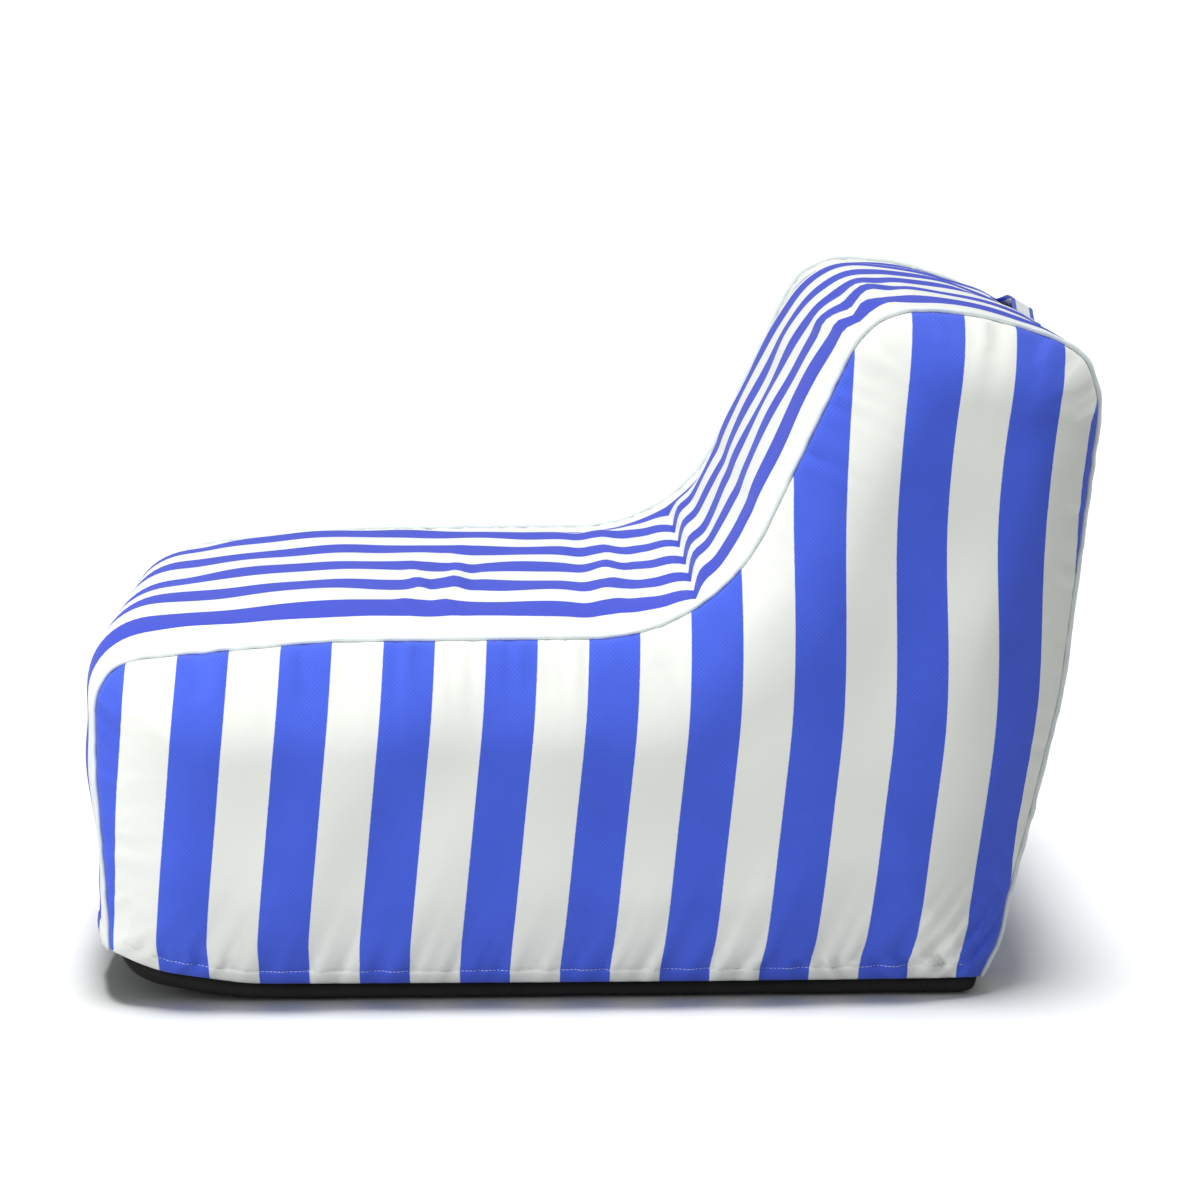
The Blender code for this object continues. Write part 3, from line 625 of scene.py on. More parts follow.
def band_height(s, u):
    """Height of the band's outer face above the seam line."""
    edge = (1 - np.abs(u)) * SEAM_X
    swell = np.interp(s, seam_length, crown)
    near = smooth_step((0.125 - np.abs(s - S_CREASE)) / 0.030)
    swell = (swell * (1 - near) + crease_height(s) * near) * crown_share(s, u)
    tuck = 0.0020 * bump(edge, 0.0030)
    calm = 1 - bump(s - S_ZIP, 0.030) * smooth_step((0.300 - np.abs(u * SEAM_X)) / 0.03)
    return swell - tuck + (band_ripples(s, u) + band_hems(s, u)) * calm


def band_point(s, u, lift=0.0):
    """Point on the band's outer face, in the row frame."""
    s, u = np.broadcast_arrays(np.asarray(s, float), np.asarray(u, float))
    height = band_height(s, u) + lift
    y = np.interp(s, seam_length, seam[:, 0]) + np.interp(s, seam_length, seam_normal[:, 0]) * height
    z = np.interp(s, seam_length, seam[:, 1]) + np.interp(s, seam_length, seam_normal[:, 1]) * height
    return np.stack([u * (SEAM_X - 0.0006), y, z], -1)


ZIP_HALF_LENGTH = 0.250
ZIP_HALF_SLOT = 0.0056

stops = np.unique(np.concatenate([
    seam_length,
    [HEM_DEPTH - 0.003, HEM_DEPTH - 0.0015, HEM_DEPTH, HEM_DEPTH + 0.0015],
    seam_total - np.array([HEM_DEPTH - 0.003, HEM_DEPTH - 0.0015, HEM_DEPTH, HEM_DEPTH + 0.0015]),
    [S_ZIP - ZIP_HALF_SLOT, S_ZIP + ZIP_HALF_SLOT]]))
stops = stops[np.concatenate([[True], np.diff(stops) > 0.0006])]
stations = np.linspace(-1, 1, int(2 * SEAM_X / GRID) + 1)
stations = np.unique(np.concatenate([
    stations, [sign * (1 - gap / SEAM_X) for sign in (-1, 1) for gap in (0.0015, 0.003, 0.0045)],
    [-ZIP_HALF_LENGTH / SEAM_X, ZIP_HALF_LENGTH / SEAM_X]]))
stations = stations[np.concatenate([[True], np.diff(stations) > 0.002])]
S, U = np.meshgrid(stops, stations, indexing="ij")
band_points = band_point(S, U)
slot_row = [np.argmin(np.abs(stops - (S_ZIP + sign * ZIP_HALF_SLOT))) for sign in (-1, 1)]
slot_column = [np.argmin(np.abs(stations - sign * ZIP_HALF_LENGTH / SEAM_X)) for sign in (-1, 1)]


def in_slot(row, column):
    """Whether a quad of the band lies in the zip's slot."""
    return slot_row[0] <= row < slot_row[1] and slot_column[0] <= column < slot_column[1]


band = link_mesh("centre_band_cloth", band_points.reshape(-1, 3),
                 flipped(grid_faces(len(stops), len(stations), skip=in_slot)),
                 np.stack([U * SEAM_X, S], -1).reshape(-1, 2))
thicken(band, CLOTH_THICKNESS)
dress(band, BAND_CLOTH_PAINTED_SHADE, "centre_band")


# ---------------------------------------------------------------------------
# Side panels
# ---------------------------------------------------------------------------
hem_line, _, _, hem_length = even_line([(*corner, 0.0) for corner in HEM], GRID)
outline = np.concatenate([seam, hem_line[1:-1]])
outline_length = np.concatenate([seam_length, seam_total + hem_length[1:-1]])

RING_INSETS = [0.0, 0.0012, 0.0026, 0.0042, 0.0065, 0.0095, 0.0125,
               0.0150, 0.0163, 0.0175, 0.0187, 0.0205, 0.0240]


def dome_share(step):
    """Share of a side panel's full swell at a share of the way to the spine."""
    return np.sin(pi / 2 * np.clip(step / DOME_REACH, 0, 1)) ** DOME_POWER


def stripe_coordinate(y, z, round_edge, inward):
    """Coordinate across a side panel's stripes, which lean back as they rise."""
    in_hem = smooth_step((round_edge - seam_total) / 0.02) * np.maximum(HEM_DEPTH - inward, 0)
    z = z + in_hem
    above = 0.009 * (1 - np.exp(-np.maximum(z - 0.278, 0) / 0.09))
    below = 0.1017 * np.minimum(z - 0.278, 0)
    # Up the back the stripes bow forwards, and more so towards the rear.
    bow = np.where(z < 0.487, smooth_step((z - 0.255) / 0.235), np.cos(pi * (z - 0.487) / 0.29))
    above = above - 0.0101 * bow * np.maximum(0.55 + 3.4 * (y - 0.20), 0)
    # Towards the hem they spread a little.
    below = below - 0.0100 * (y + 0.02) * smooth_step((0.075 - z) / 0.040)
    # The cloth is drawn in along the rear seam, which crowds its stripes there.
    rear = smooth_step((round_edge - S_REAR_TOP) / 0.05)
    rear = rear * smooth_step((seam_total - 0.02 - round_edge) / 0.15)
    drawn = 0.0140 * rear * (1 - smooth_step(inward / 0.048))
    front = smooth_step((S_FRONT_TOP - round_edge) / 0.15) * (1 - smooth_step(inward / 0.040))
    drawn = drawn - 0.0060 * front
    return y - above - below + drawn


def inside(points, loop):
    """Whether each point lies inside a closed loop."""
    start, end = loop, np.roll(loop, -1, axis=0)
    y, z = points[:, 0, None], points[:, 1, None]
    spans = (start[:, 1] > z) != (end[:, 1] > z)
    rise = np.where(end[:, 1] == start[:, 1], 1e-9, end[:, 1] - start[:, 1])
    cross = start[:, 0] + (z - start[:, 1]) * (end[:, 0] - start[:, 0]) / rise
    return (spans & (y < cross)).sum(axis=1) % 2 == 1


def inward_steps(loop):
    """Steps from the closed outline towards the spine that go one unit in from the edge."""
    along = np.roll(loop, -1, axis=0) - np.roll(loop, 1, axis=0)
    along /= np.linalg.norm(along, axis=1, keepdims=True)
    normals = np.stack([along[:, 1], -along[:, 0]], 1)
    steps = spine_points(loop) - loop
    steps /= np.linalg.norm(steps, axis=1, keepdims=True)
    steps = blurred(np.concatenate([steps, steps, steps]), 0.020 / GRID)[len(loop):2 * len(loop)]
    steps /= np.linalg.norm(steps, axis=1, keepdims=True)
    lean = np.clip((steps * normals).sum(axis=1, keepdims=True), 0.65, 1)
    return steps / lean


outline_inward = inward_steps(outline)


def panel_plan():
    """Flat points of a side panel, its faces, and each point's place round and in from its edge."""
    rows = [outline + outline_inward * inset for inset in RING_INSETS]
    rings = len(rows) * len(outline)
    low, high = outline.min(axis=0), outline.max(axis=0)
    lattice = []
    for row, z in enumerate(np.arange(low[1], high[1], GRID * 0.87)):
        y = np.arange(low[0] + (row % 2) * GRID / 2, high[0], GRID)
        lattice.append(np.stack([y, np.full_like(y, z)], 1))
    lattice = np.concatenate(lattice)
    lattice = lattice[inside(lattice, rows[-1])]
    gap = np.linalg.norm(lattice[:, None] - rows[-1][None], axis=-1).min(axis=1)
    flat = np.concatenate(rows + [lattice[gap > GRID * 0.7]])
    count = len(outline)
    offset = (len(rows) - 1) * count
    inner = [Vector(point) for point in flat[offset:]]
    loop = [tuple(range(count))]
    vertices, _, faces, source, _, _ = delaunay_2d_cdt(inner, [], loop, 1, 1e-6)
    if len(vertices) != len(inner):
        raise RuntimeError("the side panel's mesh gained or lost points")
    inner_faces = [tuple(offset + source[index][0] for index in face) for face in faces]
    faces = flipped(grid_faces(len(rows), count, closed=True)) + inner_faces
    place = np.zeros((len(flat), 2))
    place[:rings, 0] = np.tile(outline_length, len(rows))
    place[:rings, 1] = np.repeat(RING_INSETS, count)
    rest = flat[rings:]
    distance = np.linalg.norm(rest[:, None] - outline[None], axis=-1)
    place[rings:, 0] = outline_length[distance.argmin(axis=1)]
    place[rings:, 1] = distance.min(axis=1)
    return flat, faces, place


panel_flat, panel_faces, panel_place = panel_plan()
to_spine = np.linalg.norm(spine_points(panel_flat) - panel_flat, axis=1)
panel_share = panel_place[:, 1] / (panel_place[:, 1] + to_spine)


def side_ripples(length, inward, y, z, seed):
    """Puckers and shallow folds of a side panel, in metres outwards."""
    seamed = smooth_step((seam_total - length) / 0.03)
    hemmed = 1 - seamed
    seamed = seamed * (1 - 0.45 * smooth_step((length - S_REAR_TOP) / 0.05))
    rise = 0.0028 * waves(seed, 0.012, 0.045, length) * np.exp(-inward / 0.024) * seamed
    rise = rise + 0.0014 * waves(seed + 4, 0.007, 0.012, length) * np.exp(-inward / 0.012) * seamed
    gathers = np.where(inward < HEM_DEPTH, 0.45, np.exp(-(inward - HEM_DEPTH) / 0.030))
    rise = rise + 0.0024 * waves(seed + 1, 0.013, 0.050, length + 0.4 * inward) * gathers * hemmed
    rise = rise + 0.0022 * waves(seed + 2, 0.10, 0.30, y, z) * smooth_step(inward / 0.05)
    # Slanting creases over the rear bottom corner.
    slant = (y - 0.392) * 0.80 - (z - 0.040) * 0.60
    near = bump(np.hypot(y - 0.385, z - 0.060), 0.050)
    rise = rise + 0.0026 * np.sin(2 * pi * slant / 0.018) * near * smooth_step(inward / 0.004)
    return rise * smooth_step(inward / 0.0035 + 0.15)


def side_height(seed, round_edge, inward, share, y, z):
    """Distance of a side panel's outer face from the part's middle plane."""
    x = SEAM_X + 0.0006 + 0.0030 * smooth_step(inward / 0.003) + PANEL_BULGE * dome_share(share)
    from_rear = round_edge - seam_total
    hem_share = np.where(from_rear > 0, np.sin(pi * np.clip(from_rear / hem_length[-1], 0, 1)) ** 0.3, 0)
    x = x + 0.0100 * hem_share * np.exp(-inward / 0.030)
    hem_rise = 0.0008 * (1 - smooth_step((inward - HEM_DEPTH + 0.0012) / 0.0012))
    hem_rise = hem_rise - 0.0009 * bump(inward - HEM_DEPTH, 0.0020)
    x = x + hem_rise * smooth_step(hem_share / 0.5)
    return x + side_ripples(round_edge, inward, y, z, seed)


def side_panel(name, side, seed):
    """One side panel: side 1 is the sitter's left, -1 the right."""
    y, z = panel_flat.T
    x = side_height(seed, panel_place[:, 0], panel_place[:, 1], panel_share, y, z)
    faces = panel_faces if side > 0 else flipped(panel_faces)
    uvs = np.stack([stripe_coordinate(y, z, *panel_place.T), z], 1)
    panel = link_mesh(name, np.stack([side * x, y, z], 1), faces, uvs)
    return thicken(panel, CLOTH_THICKNESS)


SIDES = (("left", 1, 41), ("right", -1, 61))
for name, side, seed in SIDES:
    panel = side_panel(f"side_panel_{name}_cloth", side, seed)
    dress(panel, SIDE_CLOTH, "side_panel_" + name)

# ---------------------------------------------------------------------------
# Welts along the side seams
# ---------------------------------------------------------------------------
for name, side, seed in (("left", 1, 71), ("right", -1, 72)):
    fine, _, fine_normal, fine_length = even_line(SEAM, 0.004)
    wobble = 0.0004 * waves(seed, 0.02, 0.06, fine_length)
    centre = fine + fine_normal * (PIPING_OUT - 0.0002 + wobble)[:, None]
    sway = 0.0004 * waves(seed + 5, 0.03, 0.09, fine_length)
    line = np.stack([side * (SEAM_X + sway), centre[:, 0], centre[:, 1]], 1)
    radii = (PIPING_RADIUS - 0.0001) * (1 + 0.06 * waves(seed + 9, 0.006, 0.014, fine_length))
    radii[0] = radii[-1] = 0.0019
    welt = swept_tube("welt_" + name, line, radii, 12)
    dress(welt, WELT_CLOTH, "piping_" + name)

# ---------------------------------------------------------------------------
# Hem stitches
# ---------------------------------------------------------------------------
HEM_STITCH_PITCH = 0.0042
STITCH_SECTION = (0.0006, 0.0005)   # width and height of a thread
stitch_points, stitch_faces = capsule(0.0031, *STITCH_SECTION)


def hem_stitches(name, side, seed):
    """Stitches along a side panel's hem."""
    run = slice(len(seam), len(outline))
    flat = outline[run] + outline_inward[run] * HEM_DEPTH
    depth = np.full(len(flat), HEM_DEPTH)
    to_middle = np.linalg.norm(spine_points(flat) - flat, axis=1)
    share = depth / (depth + to_middle)
    x = side_height(seed, outline_length[run], depth, share, flat[:, 0], flat[:, 1])
    line = np.stack([side * x, flat[:, 0], flat[:, 1]], 1)
    outward = np.tile([side * 0.9, 0.0, -0.25], (len(line), 1))
    places = stitch_places(line, outward, HEM_STITCH_PITCH)
    return many("hem_stitches_" + name, stitch_points, stitch_faces, places)


def band_stitches(name, stop):
    """Stitches across the band at one length along the seam."""
    across = np.linspace(-0.975, 0.975, 240)
    line = band_point(np.full_like(across, stop), across)
    above = band_point(np.full_like(across, stop), across, 0.001)
    places = stitch_places(line, (above - line) * 1000, HEM_STITCH_PITCH)
    return many(name, stitch_points, stitch_faces, places)


for stitches in (*(hem_stitches(*numbers) for numbers in SIDES),
                 band_stitches("hem_stitches_front", HEM_DEPTH),
                 band_stitches("hem_stitches_rear", seam_total - HEM_DEPTH)):
    dress(stitches, THREAD)

# ---------------------------------------------------------------------------
# Black base
# ---------------------------------------------------------------------------
# Rings from the hem down and in: inset, height at the rear, height at the front.
BASE_RINGS = [
    (0.0034, 0.0270, 0.0600), (-0.0040, 0.0170, 0.0520), (-0.0080, 0.0085, 0.0440),
    (-0.0050, 0.0020, 0.0300), (0.0080, 0.0000, 0.0150), (0.0400, 0.0000, 0.0020),
    (0.1100, 0.0000, 0.0000), (0.1900, 0.0000, 0.0000), (0.2900, 0.0000, 0.0000),
]
BASE_LIFT_START = -0.328        # y where the base starts to lift towards the front


def base_ring(inset, low, lifted):
    """One ring of the base: a rounded rectangle whose front is lifted."""
    front = SEAM[0][0] + max(inset, 0.0) + (0.060 - lifted) * 0.55 + 0.0035
    rear = SEAM[-1][0] + (low - 0.018) * 0.45 - max(inset, 0.0)
    half = SEAM_X - inset + 0.002
    radius = min(0.018 + inset, half * 0.9)
    corners = [(half, front), (half, rear), (-half, rear), (-half, front)]
    ring = []
    for index, (x, y) in enumerate(corners):
        centre = (x - radius * (1 if x > 0 else -1), y - radius * (1 if y > (front + rear) / 2 else -1))
        for step in range(7):
            angle = index * pi / 2 - pi / 2 + step * pi / 12
            ring.append([centre[0] + radius * cos(angle), centre[1] + radius * sin(angle), low])
        after = corners[(index + 1) % 4]
        angle = (index + 1) * pi / 2 - pi / 2
        after_centre = (after[0] - radius * (1 if after[0] > 0 else -1),
                        after[1] - radius * (1 if after[1] > (front + rear) / 2 else -1))
        finish = (after_centre[0] + radius * cos(angle), after_centre[1] + radius * sin(angle))
        begin = ring[-1][:2]
        for step in range(1, 14):
            ring.append([begin[0] + (finish[0] - begin[0]) * step / 14,
                         begin[1] + (finish[1] - begin[1]) * step / 14, low])
    ring = np.array(ring)
    share = np.clip((BASE_LIFT_START - ring[:, 1]) / (BASE_LIFT_START - front), 0, 1)
    ring[:, 2] = low + (lifted - low) * share ** 2
    return ring


base_rows = np.array([base_ring(*numbers) for numbers in BASE_RINGS])
base_count = base_rows.shape[1]
base_faces = flipped(grid_faces(len(base_rows), base_count, closed=True))
base_faces.append(tuple((len(base_rows) - 1) * base_count + index for index in reversed(range(base_count))))
base = link_mesh("base_cloth", base_rows.reshape(-1, 3), base_faces)
rounding = base.modifiers.new("rounding", "SUBSURF")
rounding.levels = rounding.render_levels = 2
apply_modifiers(base)
heights = np.array([vertex.co[:] for vertex in base.data.vertices])
sag = 0.0008 * (1 + waves(81, 0.05, 0.16, heights[:, 0], heights[:, 1]))
heights[:, 2] = np.maximum(heights[:, 2] + np.where(heights[:, 2] < 0.004, sag * 0.5, 0), 0.0)
base.data.vertices.foreach_set("co", heights.ravel())
thicken(base, CLOTH_THICKNESS)
dress(base, BASE_CLOTH, "base_panel")

# ---------------------------------------------------------------------------
# Grab strap
# ---------------------------------------------------------------------------
HANDLE_FORE, HANDLE_AFT = np.array([0.4607, 0.6672]), np.array([0.4902, 0.6495])
HANDLE_PLACE = 0.0152           # from the fore end of the line to the strap's middle
HANDLE_WIDTH, HANDLE_THICKNESS = 0.028, 0.0015
HANDLE_SPAN, HANDLE_SEWN = 0.130, 0.030
HANDLE_ARCH = 0.0105            # height of the loose middle over the sewn ends
HANDLE_CROWN = 0.005            # height of the band there over its seam line
handle_along = (HANDLE_AFT - HANDLE_FORE) / np.linalg.norm(HANDLE_AFT - HANDLE_FORE)
handle_out = np.array([-handle_along[1], handle_along[0]])
handle_middle = HANDLE_FORE + handle_along * HANDLE_PLACE


def strap_point(x, across, lift):
    """Point of the strap's surface, lift above the middle of its underside."""
    half = HANDLE_SPAN / 2
    arch = np.where(np.abs(x) < half, np.cos(pi * x / HANDLE_SPAN) ** 2, 0)
    height = HANDLE_CROWN + 0.0006 + HANDLE_ARCH * arch + lift
    height = height + 0.0005 * waves(91, 0.02, 0.05, x) * arch
    place = handle_middle + np.outer(across, handle_along) + np.outer(height, handle_out)
    return np.stack([x, place[:, 0], place[:, 1]], 1)


strap_x = np.linspace(-HANDLE_SPAN / 2 - HANDLE_SEWN, HANDLE_SPAN / 2 + HANDLE_SEWN, 96)
# Across and up the strap's section, as shares of its width and thickness.
profile = [(-0.5, 0.35), (-0.5, 1.0), (-0.46, 1.25), (-0.36, 1.1), (-0.30, 1.0), (0.30, 1.0), (0.36, 1.1),
           (0.46, 1.25), (0.5, 1.0), (0.5, 0.35), (0.46, 0.0), (0.0, 0.05), (-0.46, 0.0)]
rows, strap_uv = [], []
for across, lift in profile:
    rows.append(strap_point(strap_x, np.full_like(strap_x, across * HANDLE_WIDTH * 0.98),
                            np.full_like(strap_x, lift * HANDLE_THICKNESS * 0.85)))
    strap_uv.append(np.stack([np.full_like(strap_x, across), strap_x], 1))
strap_points = np.stack(rows, 1)
strap_uvs = np.stack(strap_uv, 1)
strap = link_mesh("grab_strap", strap_points.reshape(-1, 3),
                  tube_faces(len(strap_x), len(profile)), strap_uvs.reshape(-1, 2))

nodes = Nodes("strap_webbing")
vector, across, along = nodes.uv()
rim = nodes.ramp(nodes.math("ABSOLUTE", across), 0.30, 0.33)
ribs = nodes.math("SINE", nodes.math("MULTIPLY", along, 2 * pi / 0.0022))
tone = nodes.mix(rim, (0.76, 0.78, 0.80), (0.045, 0.085, 0.52))
tone = nodes.mix(nodes.ramp(ribs, -0.2, 1.0, 0.0, 0.35), tone, (0.35, 0.38, 0.45))
STRAP_WEBBING = nodes.finish(tone, nodes.ramp(ribs, -1, 1, 0.72, 0.86), nodes.bump(ribs, 0.0003, 0.6))
dress(strap, STRAP_WEBBING, "grab_handle")

tack_lines = []
for sign in (-1, 1):
    near, far = sign * (HANDLE_SPAN / 2 + 0.004), sign * (HANDLE_SPAN / 2 + HANDLE_SEWN - 0.004)
    wide = HANDLE_WIDTH * 0.38
    tack_lines += [((near, -wide), (far, -wide)), ((far, -wide), (far, wide)), ((far, wide), (near, wide)),
                   ((near, wide), (near, -wide)), ((near, -wide), (far, wide)), ((near, wide), (far, -wide))]
places = []
for start, end in tack_lines:
    share = np.linspace(0, 1, 12)
    x = start[0] + (end[0] - start[0]) * share
    line = strap_point(x, start[1] + (end[1] - start[1]) * share, np.full_like(share, HANDLE_THICKNESS * 0.92))
    outward = np.tile([0, *handle_out], (len(line), 1))
    places += stitch_places(line, outward, 0.0034)
tack_points, tack_faces = capsule(0.0026, *STITCH_SECTION)
tacks = many("strap_stitches", tack_points, tack_faces, places)
dress(tacks, THREAD)

# ---------------------------------------------------------------------------
# Zip: woven tapes and moulded coils
# ---------------------------------------------------------------------------
ZIP_CENTRE = Vector((0, 0.423693, 0.07868))
ZIP_DOWN = Vector((0, -0.143244, -0.989687))
ZIP_OUT = Vector((0, 0.989687, -0.143244))
zip_frame = np.eye(4)
zip_frame[:3, 1], zip_frame[:3, 2], zip_frame[:3, 3] = ZIP_DOWN, ZIP_OUT, ZIP_CENTRE


def zip_points(points):
    """Points of the zip's own frame, in the row frame."""
    return (np.c_[np.asarray(points, float), np.ones(len(points))] @ zip_frame.T)[:, :3]


def zip_tape(name, side):
    """A woven tape with a rolled edge along its coil."""
    x = np.linspace(-ZIP_HALF_LENGTH - 0.011, ZIP_HALF_LENGTH + 0.011, 180)
    # Across and up the tape's section, in metres.
    profile = [(0.0007, -0.0026), (0.0030, -0.0025), (0.0060, -0.0026), (0.0100, -0.0026), (0.0148, -0.0026),
               (0.0148, -0.0031), (0.0100, -0.0032), (0.0060, -0.0031), (0.0007, -0.0031)]
    table = []
    for across, height in profile:
        ripple = 0.00012 * waves(97, 0.02, 0.06, x, np.full_like(x, across))
        table.append(np.stack([x, side * np.full_like(x, across), height + ripple], 1))
    grid = np.stack(table, 1)
    faces = tube_faces(len(x), len(profile))
    if side < 0:
        faces = flipped(faces)
    return link_mesh(name, zip_points(grid.reshape(-1, 3)), faces)


def zip_coil(name, side):
    """A nylon coil, drawn as one tooth loop after another."""
    pitch = 0.0026
    x = np.arange(-ZIP_HALF_LENGTH + 0.0055, ZIP_HALF_LENGTH - 0.0055, pitch)
    if side > 0:
        x = x + pitch / 2
    tooth = [(-0.45, 0.2), (-0.5, 0.55), (-0.3, 0.95), (0.0, 1.0), (0.3, 0.95), (0.5, 0.55), (0.45, 0.2)]
    points = []
    rings = ((0.0007, 0.55), (0.0013, 0.95), (0.0022, 1.0), (0.0029, 0.8))
    for across, wide in rings:
        for along, height in tooth:
            points.append((along * pitch * 0.82 * wide, side * across, -0.0021 + 0.0017 * height * wide))
    faces = tube_faces(len(rings), len(tooth))
    if side > 0:
        faces = flipped(faces)
    places = []
    for place in x:
        shift = np.eye(4)
        shift[0, 3] = place
        places.append(zip_frame @ shift)
    return many(name, points, faces, places)


TAPE_CLOTH = plain_fabric("tape_cloth", (0.016, 0.016, 0.018), (0.008, 0.008, 0.009), 0.0013, 0.85)
COIL_NYLON = moulded("coil_nylon", (0.022, 0.022, 0.025), 0.42)
for name, side in (("upper", -1), ("lower", 1)):
    tape = zip_tape("zip_tape_woven_" + name, side)
    dress(tape, TAPE_CLOTH, "zip_tape_" + name)
    coil = zip_coil("zip_teeth_" + name, side)
    dress(coil, COIL_NYLON, "zip_coil_" + name)

zip_rows = []
for side in (-1, 1):
    across = np.linspace(-ZIP_HALF_LENGTH - 0.006, ZIP_HALF_LENGTH + 0.006, 200) / SEAM_X
    stop = S_ZIP + side * (ZIP_HALF_SLOT + 0.0030)
    line = band_point(np.full_like(across, stop), across)
    zip_rows += stitch_places(line, np.tile(np.array(ZIP_OUT), (len(line), 1)), 0.0036)
top_points, top_faces = capsule(0.0027, *STITCH_SECTION)
top_stitches = many("zip_stitches", top_points, top_faces, zip_rows)
dress(top_stitches, THREAD)

# ---------------------------------------------------------------------------
# CAD nodes that stay
# ---------------------------------------------------------------------------
CHAMBER_ROOM = 0.0034           # kept between the cover's outer face and a chamber


def slack_chamber(node):
    """A copy of an air chamber, drawn in wherever the cover over it lies lower."""
    piece = bpy.data.objects.new(node + "_film", frame["nodes"][node].data.copy())
    bpy.context.scene.collection.objects.link(piece)
    finer = piece.modifiers.new("finer", "SUBSURF")
    finer.subdivision_type = "SIMPLE"
    finer.levels = finer.render_levels = 2
    apply_modifiers(piece)
    mesh = piece.data
    points = np.zeros(len(mesh.vertices) * 3, np.float32)
    mesh.vertices.foreach_get("co", points)
    points = points.reshape(-1, 3).astype(float)
    nearest = np.zeros(len(points), int)
    for first in range(0, len(points), 4000):
        part = points[first:first + 4000, None, 1:] - seam[None]
        nearest[first:first + 4000] = np.linalg.norm(part, axis=-1).argmin(axis=1)
    height = ((points[:, 1:] - seam[nearest]) * seam_normal[nearest]).sum(axis=1)
    u = np.clip(points[:, 0] / SEAM_X, -1, 1)
    over = height - (band_height(seam_length[nearest], u) - CHAMBER_ROOM)
    over = np.where((np.abs(u) < 0.999) & (over > 0) & (over < 0.03), over, 0)
    points[:, 1:] -= over[:, None] * seam_normal[nearest]
    mesh.vertices.foreach_set("co", points.astype(np.float32).ravel())
    mesh.update()
    return piece


CHAMBER_FILM = moulded("chamber_film", (0.40, 0.42, 0.44), 0.38, grain=180.0, coat_weight=0.2)
for node in ("seat_air_chamber", "back_air_chamber"):
    dress(slack_chamber(node), CHAMBER_FILM, node)

KEPT = {
    "web_pvc": moulded("web_film", (0.52, 0.54, 0.55), 0.40, grain=200.0),
    "valve_plastic": moulded("valve_moulding", (0.68, 0.69, 0.69), 0.32),
    "cap_plastic": moulded("cap_moulding", (0.030, 0.032, 0.035), 0.38),
    "valve_rubber": moulded("disc_rubber", (0.020, 0.020, 0.020), 0.62),
    "zip_metal": moulded("zip_casting", (0.055, 0.055, 0.060), 0.30, metallic=0.7),
}
slot_of = {entry["node"]: entry["material_slot"] for entry in frame["record"]["subparts"]}
for name, node in frame["nodes"].items():
    if slot_of.get(name) in KEPT:
        assign(node, KEPT[slot_of[name]])

# ---------------------------------------------------------------------------
# Floor, light and camera
# ---------------------------------------------------------------------------
floor_mesh = bpy.data.meshes.new("floor")
floor_mesh.from_pydata([(-9, -9, 0), (9, -9, 0), (9, 9, 0), (-9, 9, 0)], [], [(0, 1, 2, 3)])
floor = bpy.data.objects.new("floor", floor_mesh)
bpy.context.scene.collection.objects.link(floor)
floor_nodes = Nodes("floor_paper")
floor_grain = floor_nodes.noise(floor_nodes.place()[0], 3.0, 2.0)
floor_tone = floor_nodes.mix(floor_grain, (0.96, 0.97, 0.96), (0.97, 0.98, 0.97))
rays = floor_nodes.tree.nodes.new("ShaderNodeLightPath")
floor_tone = floor_nodes.mix(rays.outputs["Is Camera Ray"], (0.64, 0.64, 0.64), floor_tone)
assign(floor, floor_nodes.finish(floor_tone, 0.9, specular_ior_level=0.0))

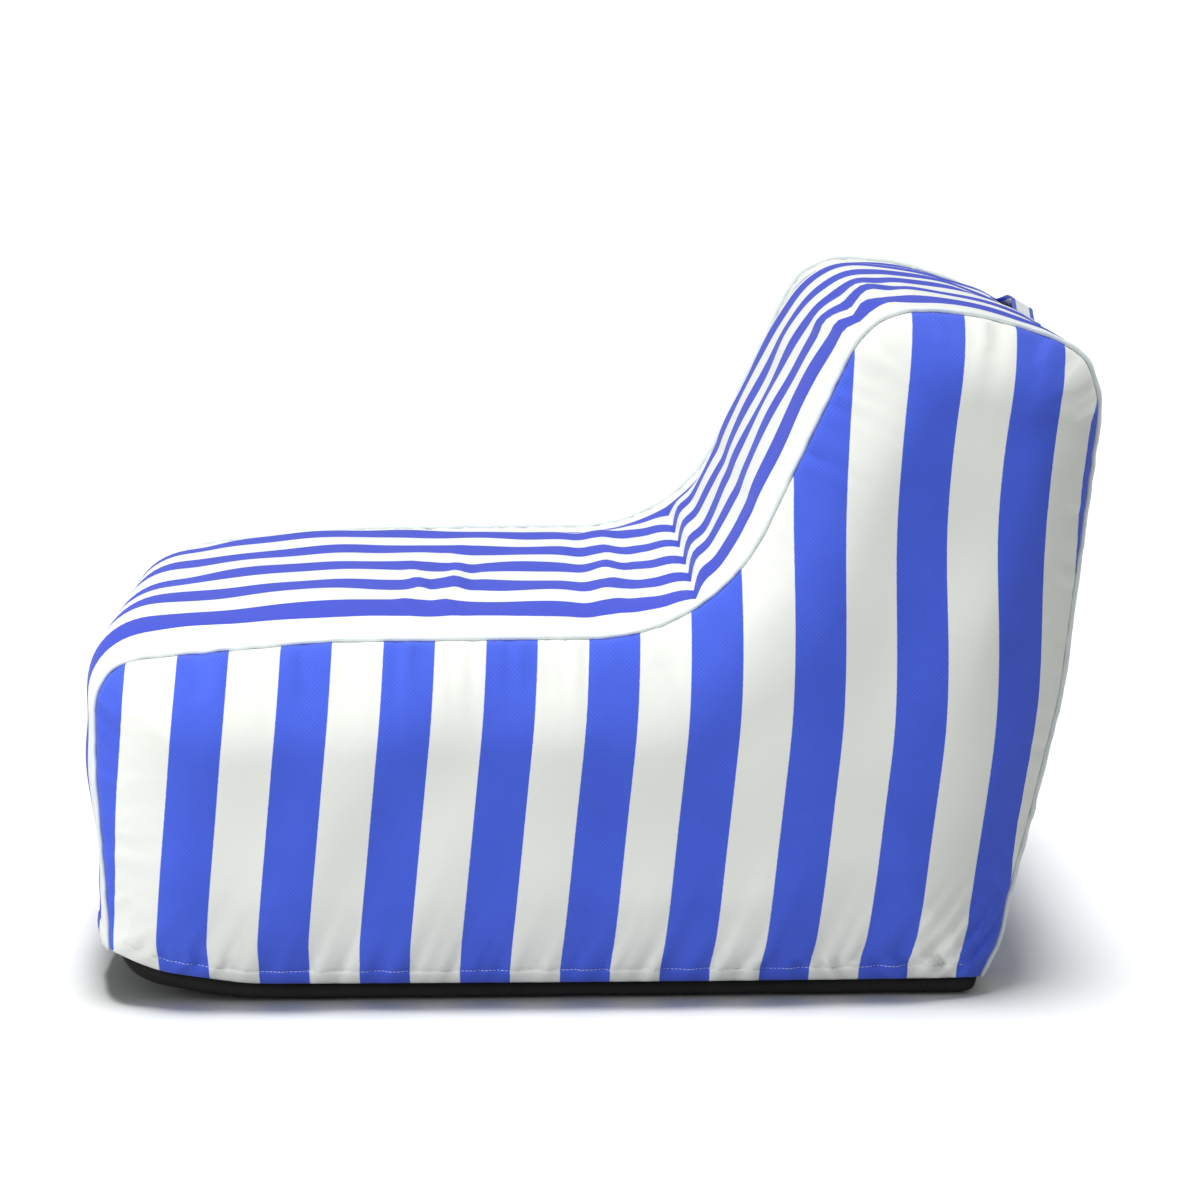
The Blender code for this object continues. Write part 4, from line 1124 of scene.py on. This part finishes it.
world = bpy.data.worlds.new("studio")
bpy.context.scene.world = world
world.use_nodes = True
air = world.node_tree
lit = air.nodes["Background"]
seen = air.nodes.new("ShaderNodeBackground")
seen.inputs["Color"].default_value = (1.0, 1.0, 1.0, 1.0)
seen.inputs["Strength"].default_value = 1.05
choose = air.nodes.new("ShaderNodeMixShader")
rays = air.nodes.new("ShaderNodeLightPath")
lit.inputs["Strength"].default_value = 0.27
lit.inputs["Color"].default_value = (0.985, 1.0, 1.0, 1.0)
air.links.new(rays.outputs["Is Camera Ray"], choose.inputs[0])
air.links.new(lit.outputs[0], choose.inputs[1])
air.links.new(seen.outputs[0], choose.inputs[2])
air.links.new(choose.outputs[0], air.nodes["World Output"].inputs[0])


def add_light(name, kind, place, aim, energy):
    """A light at a place that looks at another."""
    data = bpy.data.lights.new(name, kind)
    data.energy = energy
    light = bpy.data.objects.new(name, data)
    bpy.context.scene.collection.objects.link(light)
    light.location = place
    light.rotation_euler = (Vector(place) - Vector(aim)).to_track_quat("Z", "Y").to_euler()
    return data


add_light("overhead_light", "SUN", (0.10, -0.01, 3.0), (0, 0, 0), 2.70).angle = radians(17)
# The key and the fill light the float and not the floor.
kept_lit = bpy.data.collections.new("flagged_set")
for piece in bpy.context.scene.objects:
    if piece.type == "MESH" and piece is not floor:
        kept_lit.objects.link(piece)
key = add_light("key_light", "AREA", (1.50, -1.70, 1.00), (0.30, -0.55, 0.35), 14.0)
key.size = 0.9
fill = add_light("fill_light", "AREA", (2.15, -2.85, 1.50), (0.20, -0.10, 0.30), 41.0)
fill.size = 2.0
for name in ("key_light", "fill_light"):
    bpy.data.objects[name].light_linking.receiver_collection = kept_lit

camera_data = bpy.data.cameras.new("camera")
camera_data.sensor_width = 36.0
camera_data.lens = 86.49
camera_data.clip_end = 50
camera = bpy.data.objects.new("camera", camera_data)
bpy.context.scene.collection.objects.link(camera)
yaw, pitch = radians(1.75), radians(11.1)
camera.location = (3.1287, -0.0708, 0.96)
look = Vector((-cos(yaw) * cos(pitch), sin(yaw) * cos(pitch), -sin(pitch)))
camera.rotation_euler = look.to_track_quat("-Z", "Y").to_euler()
bpy.context.scene.camera = camera

bpy.context.scene.view_settings.view_transform = "Standard"
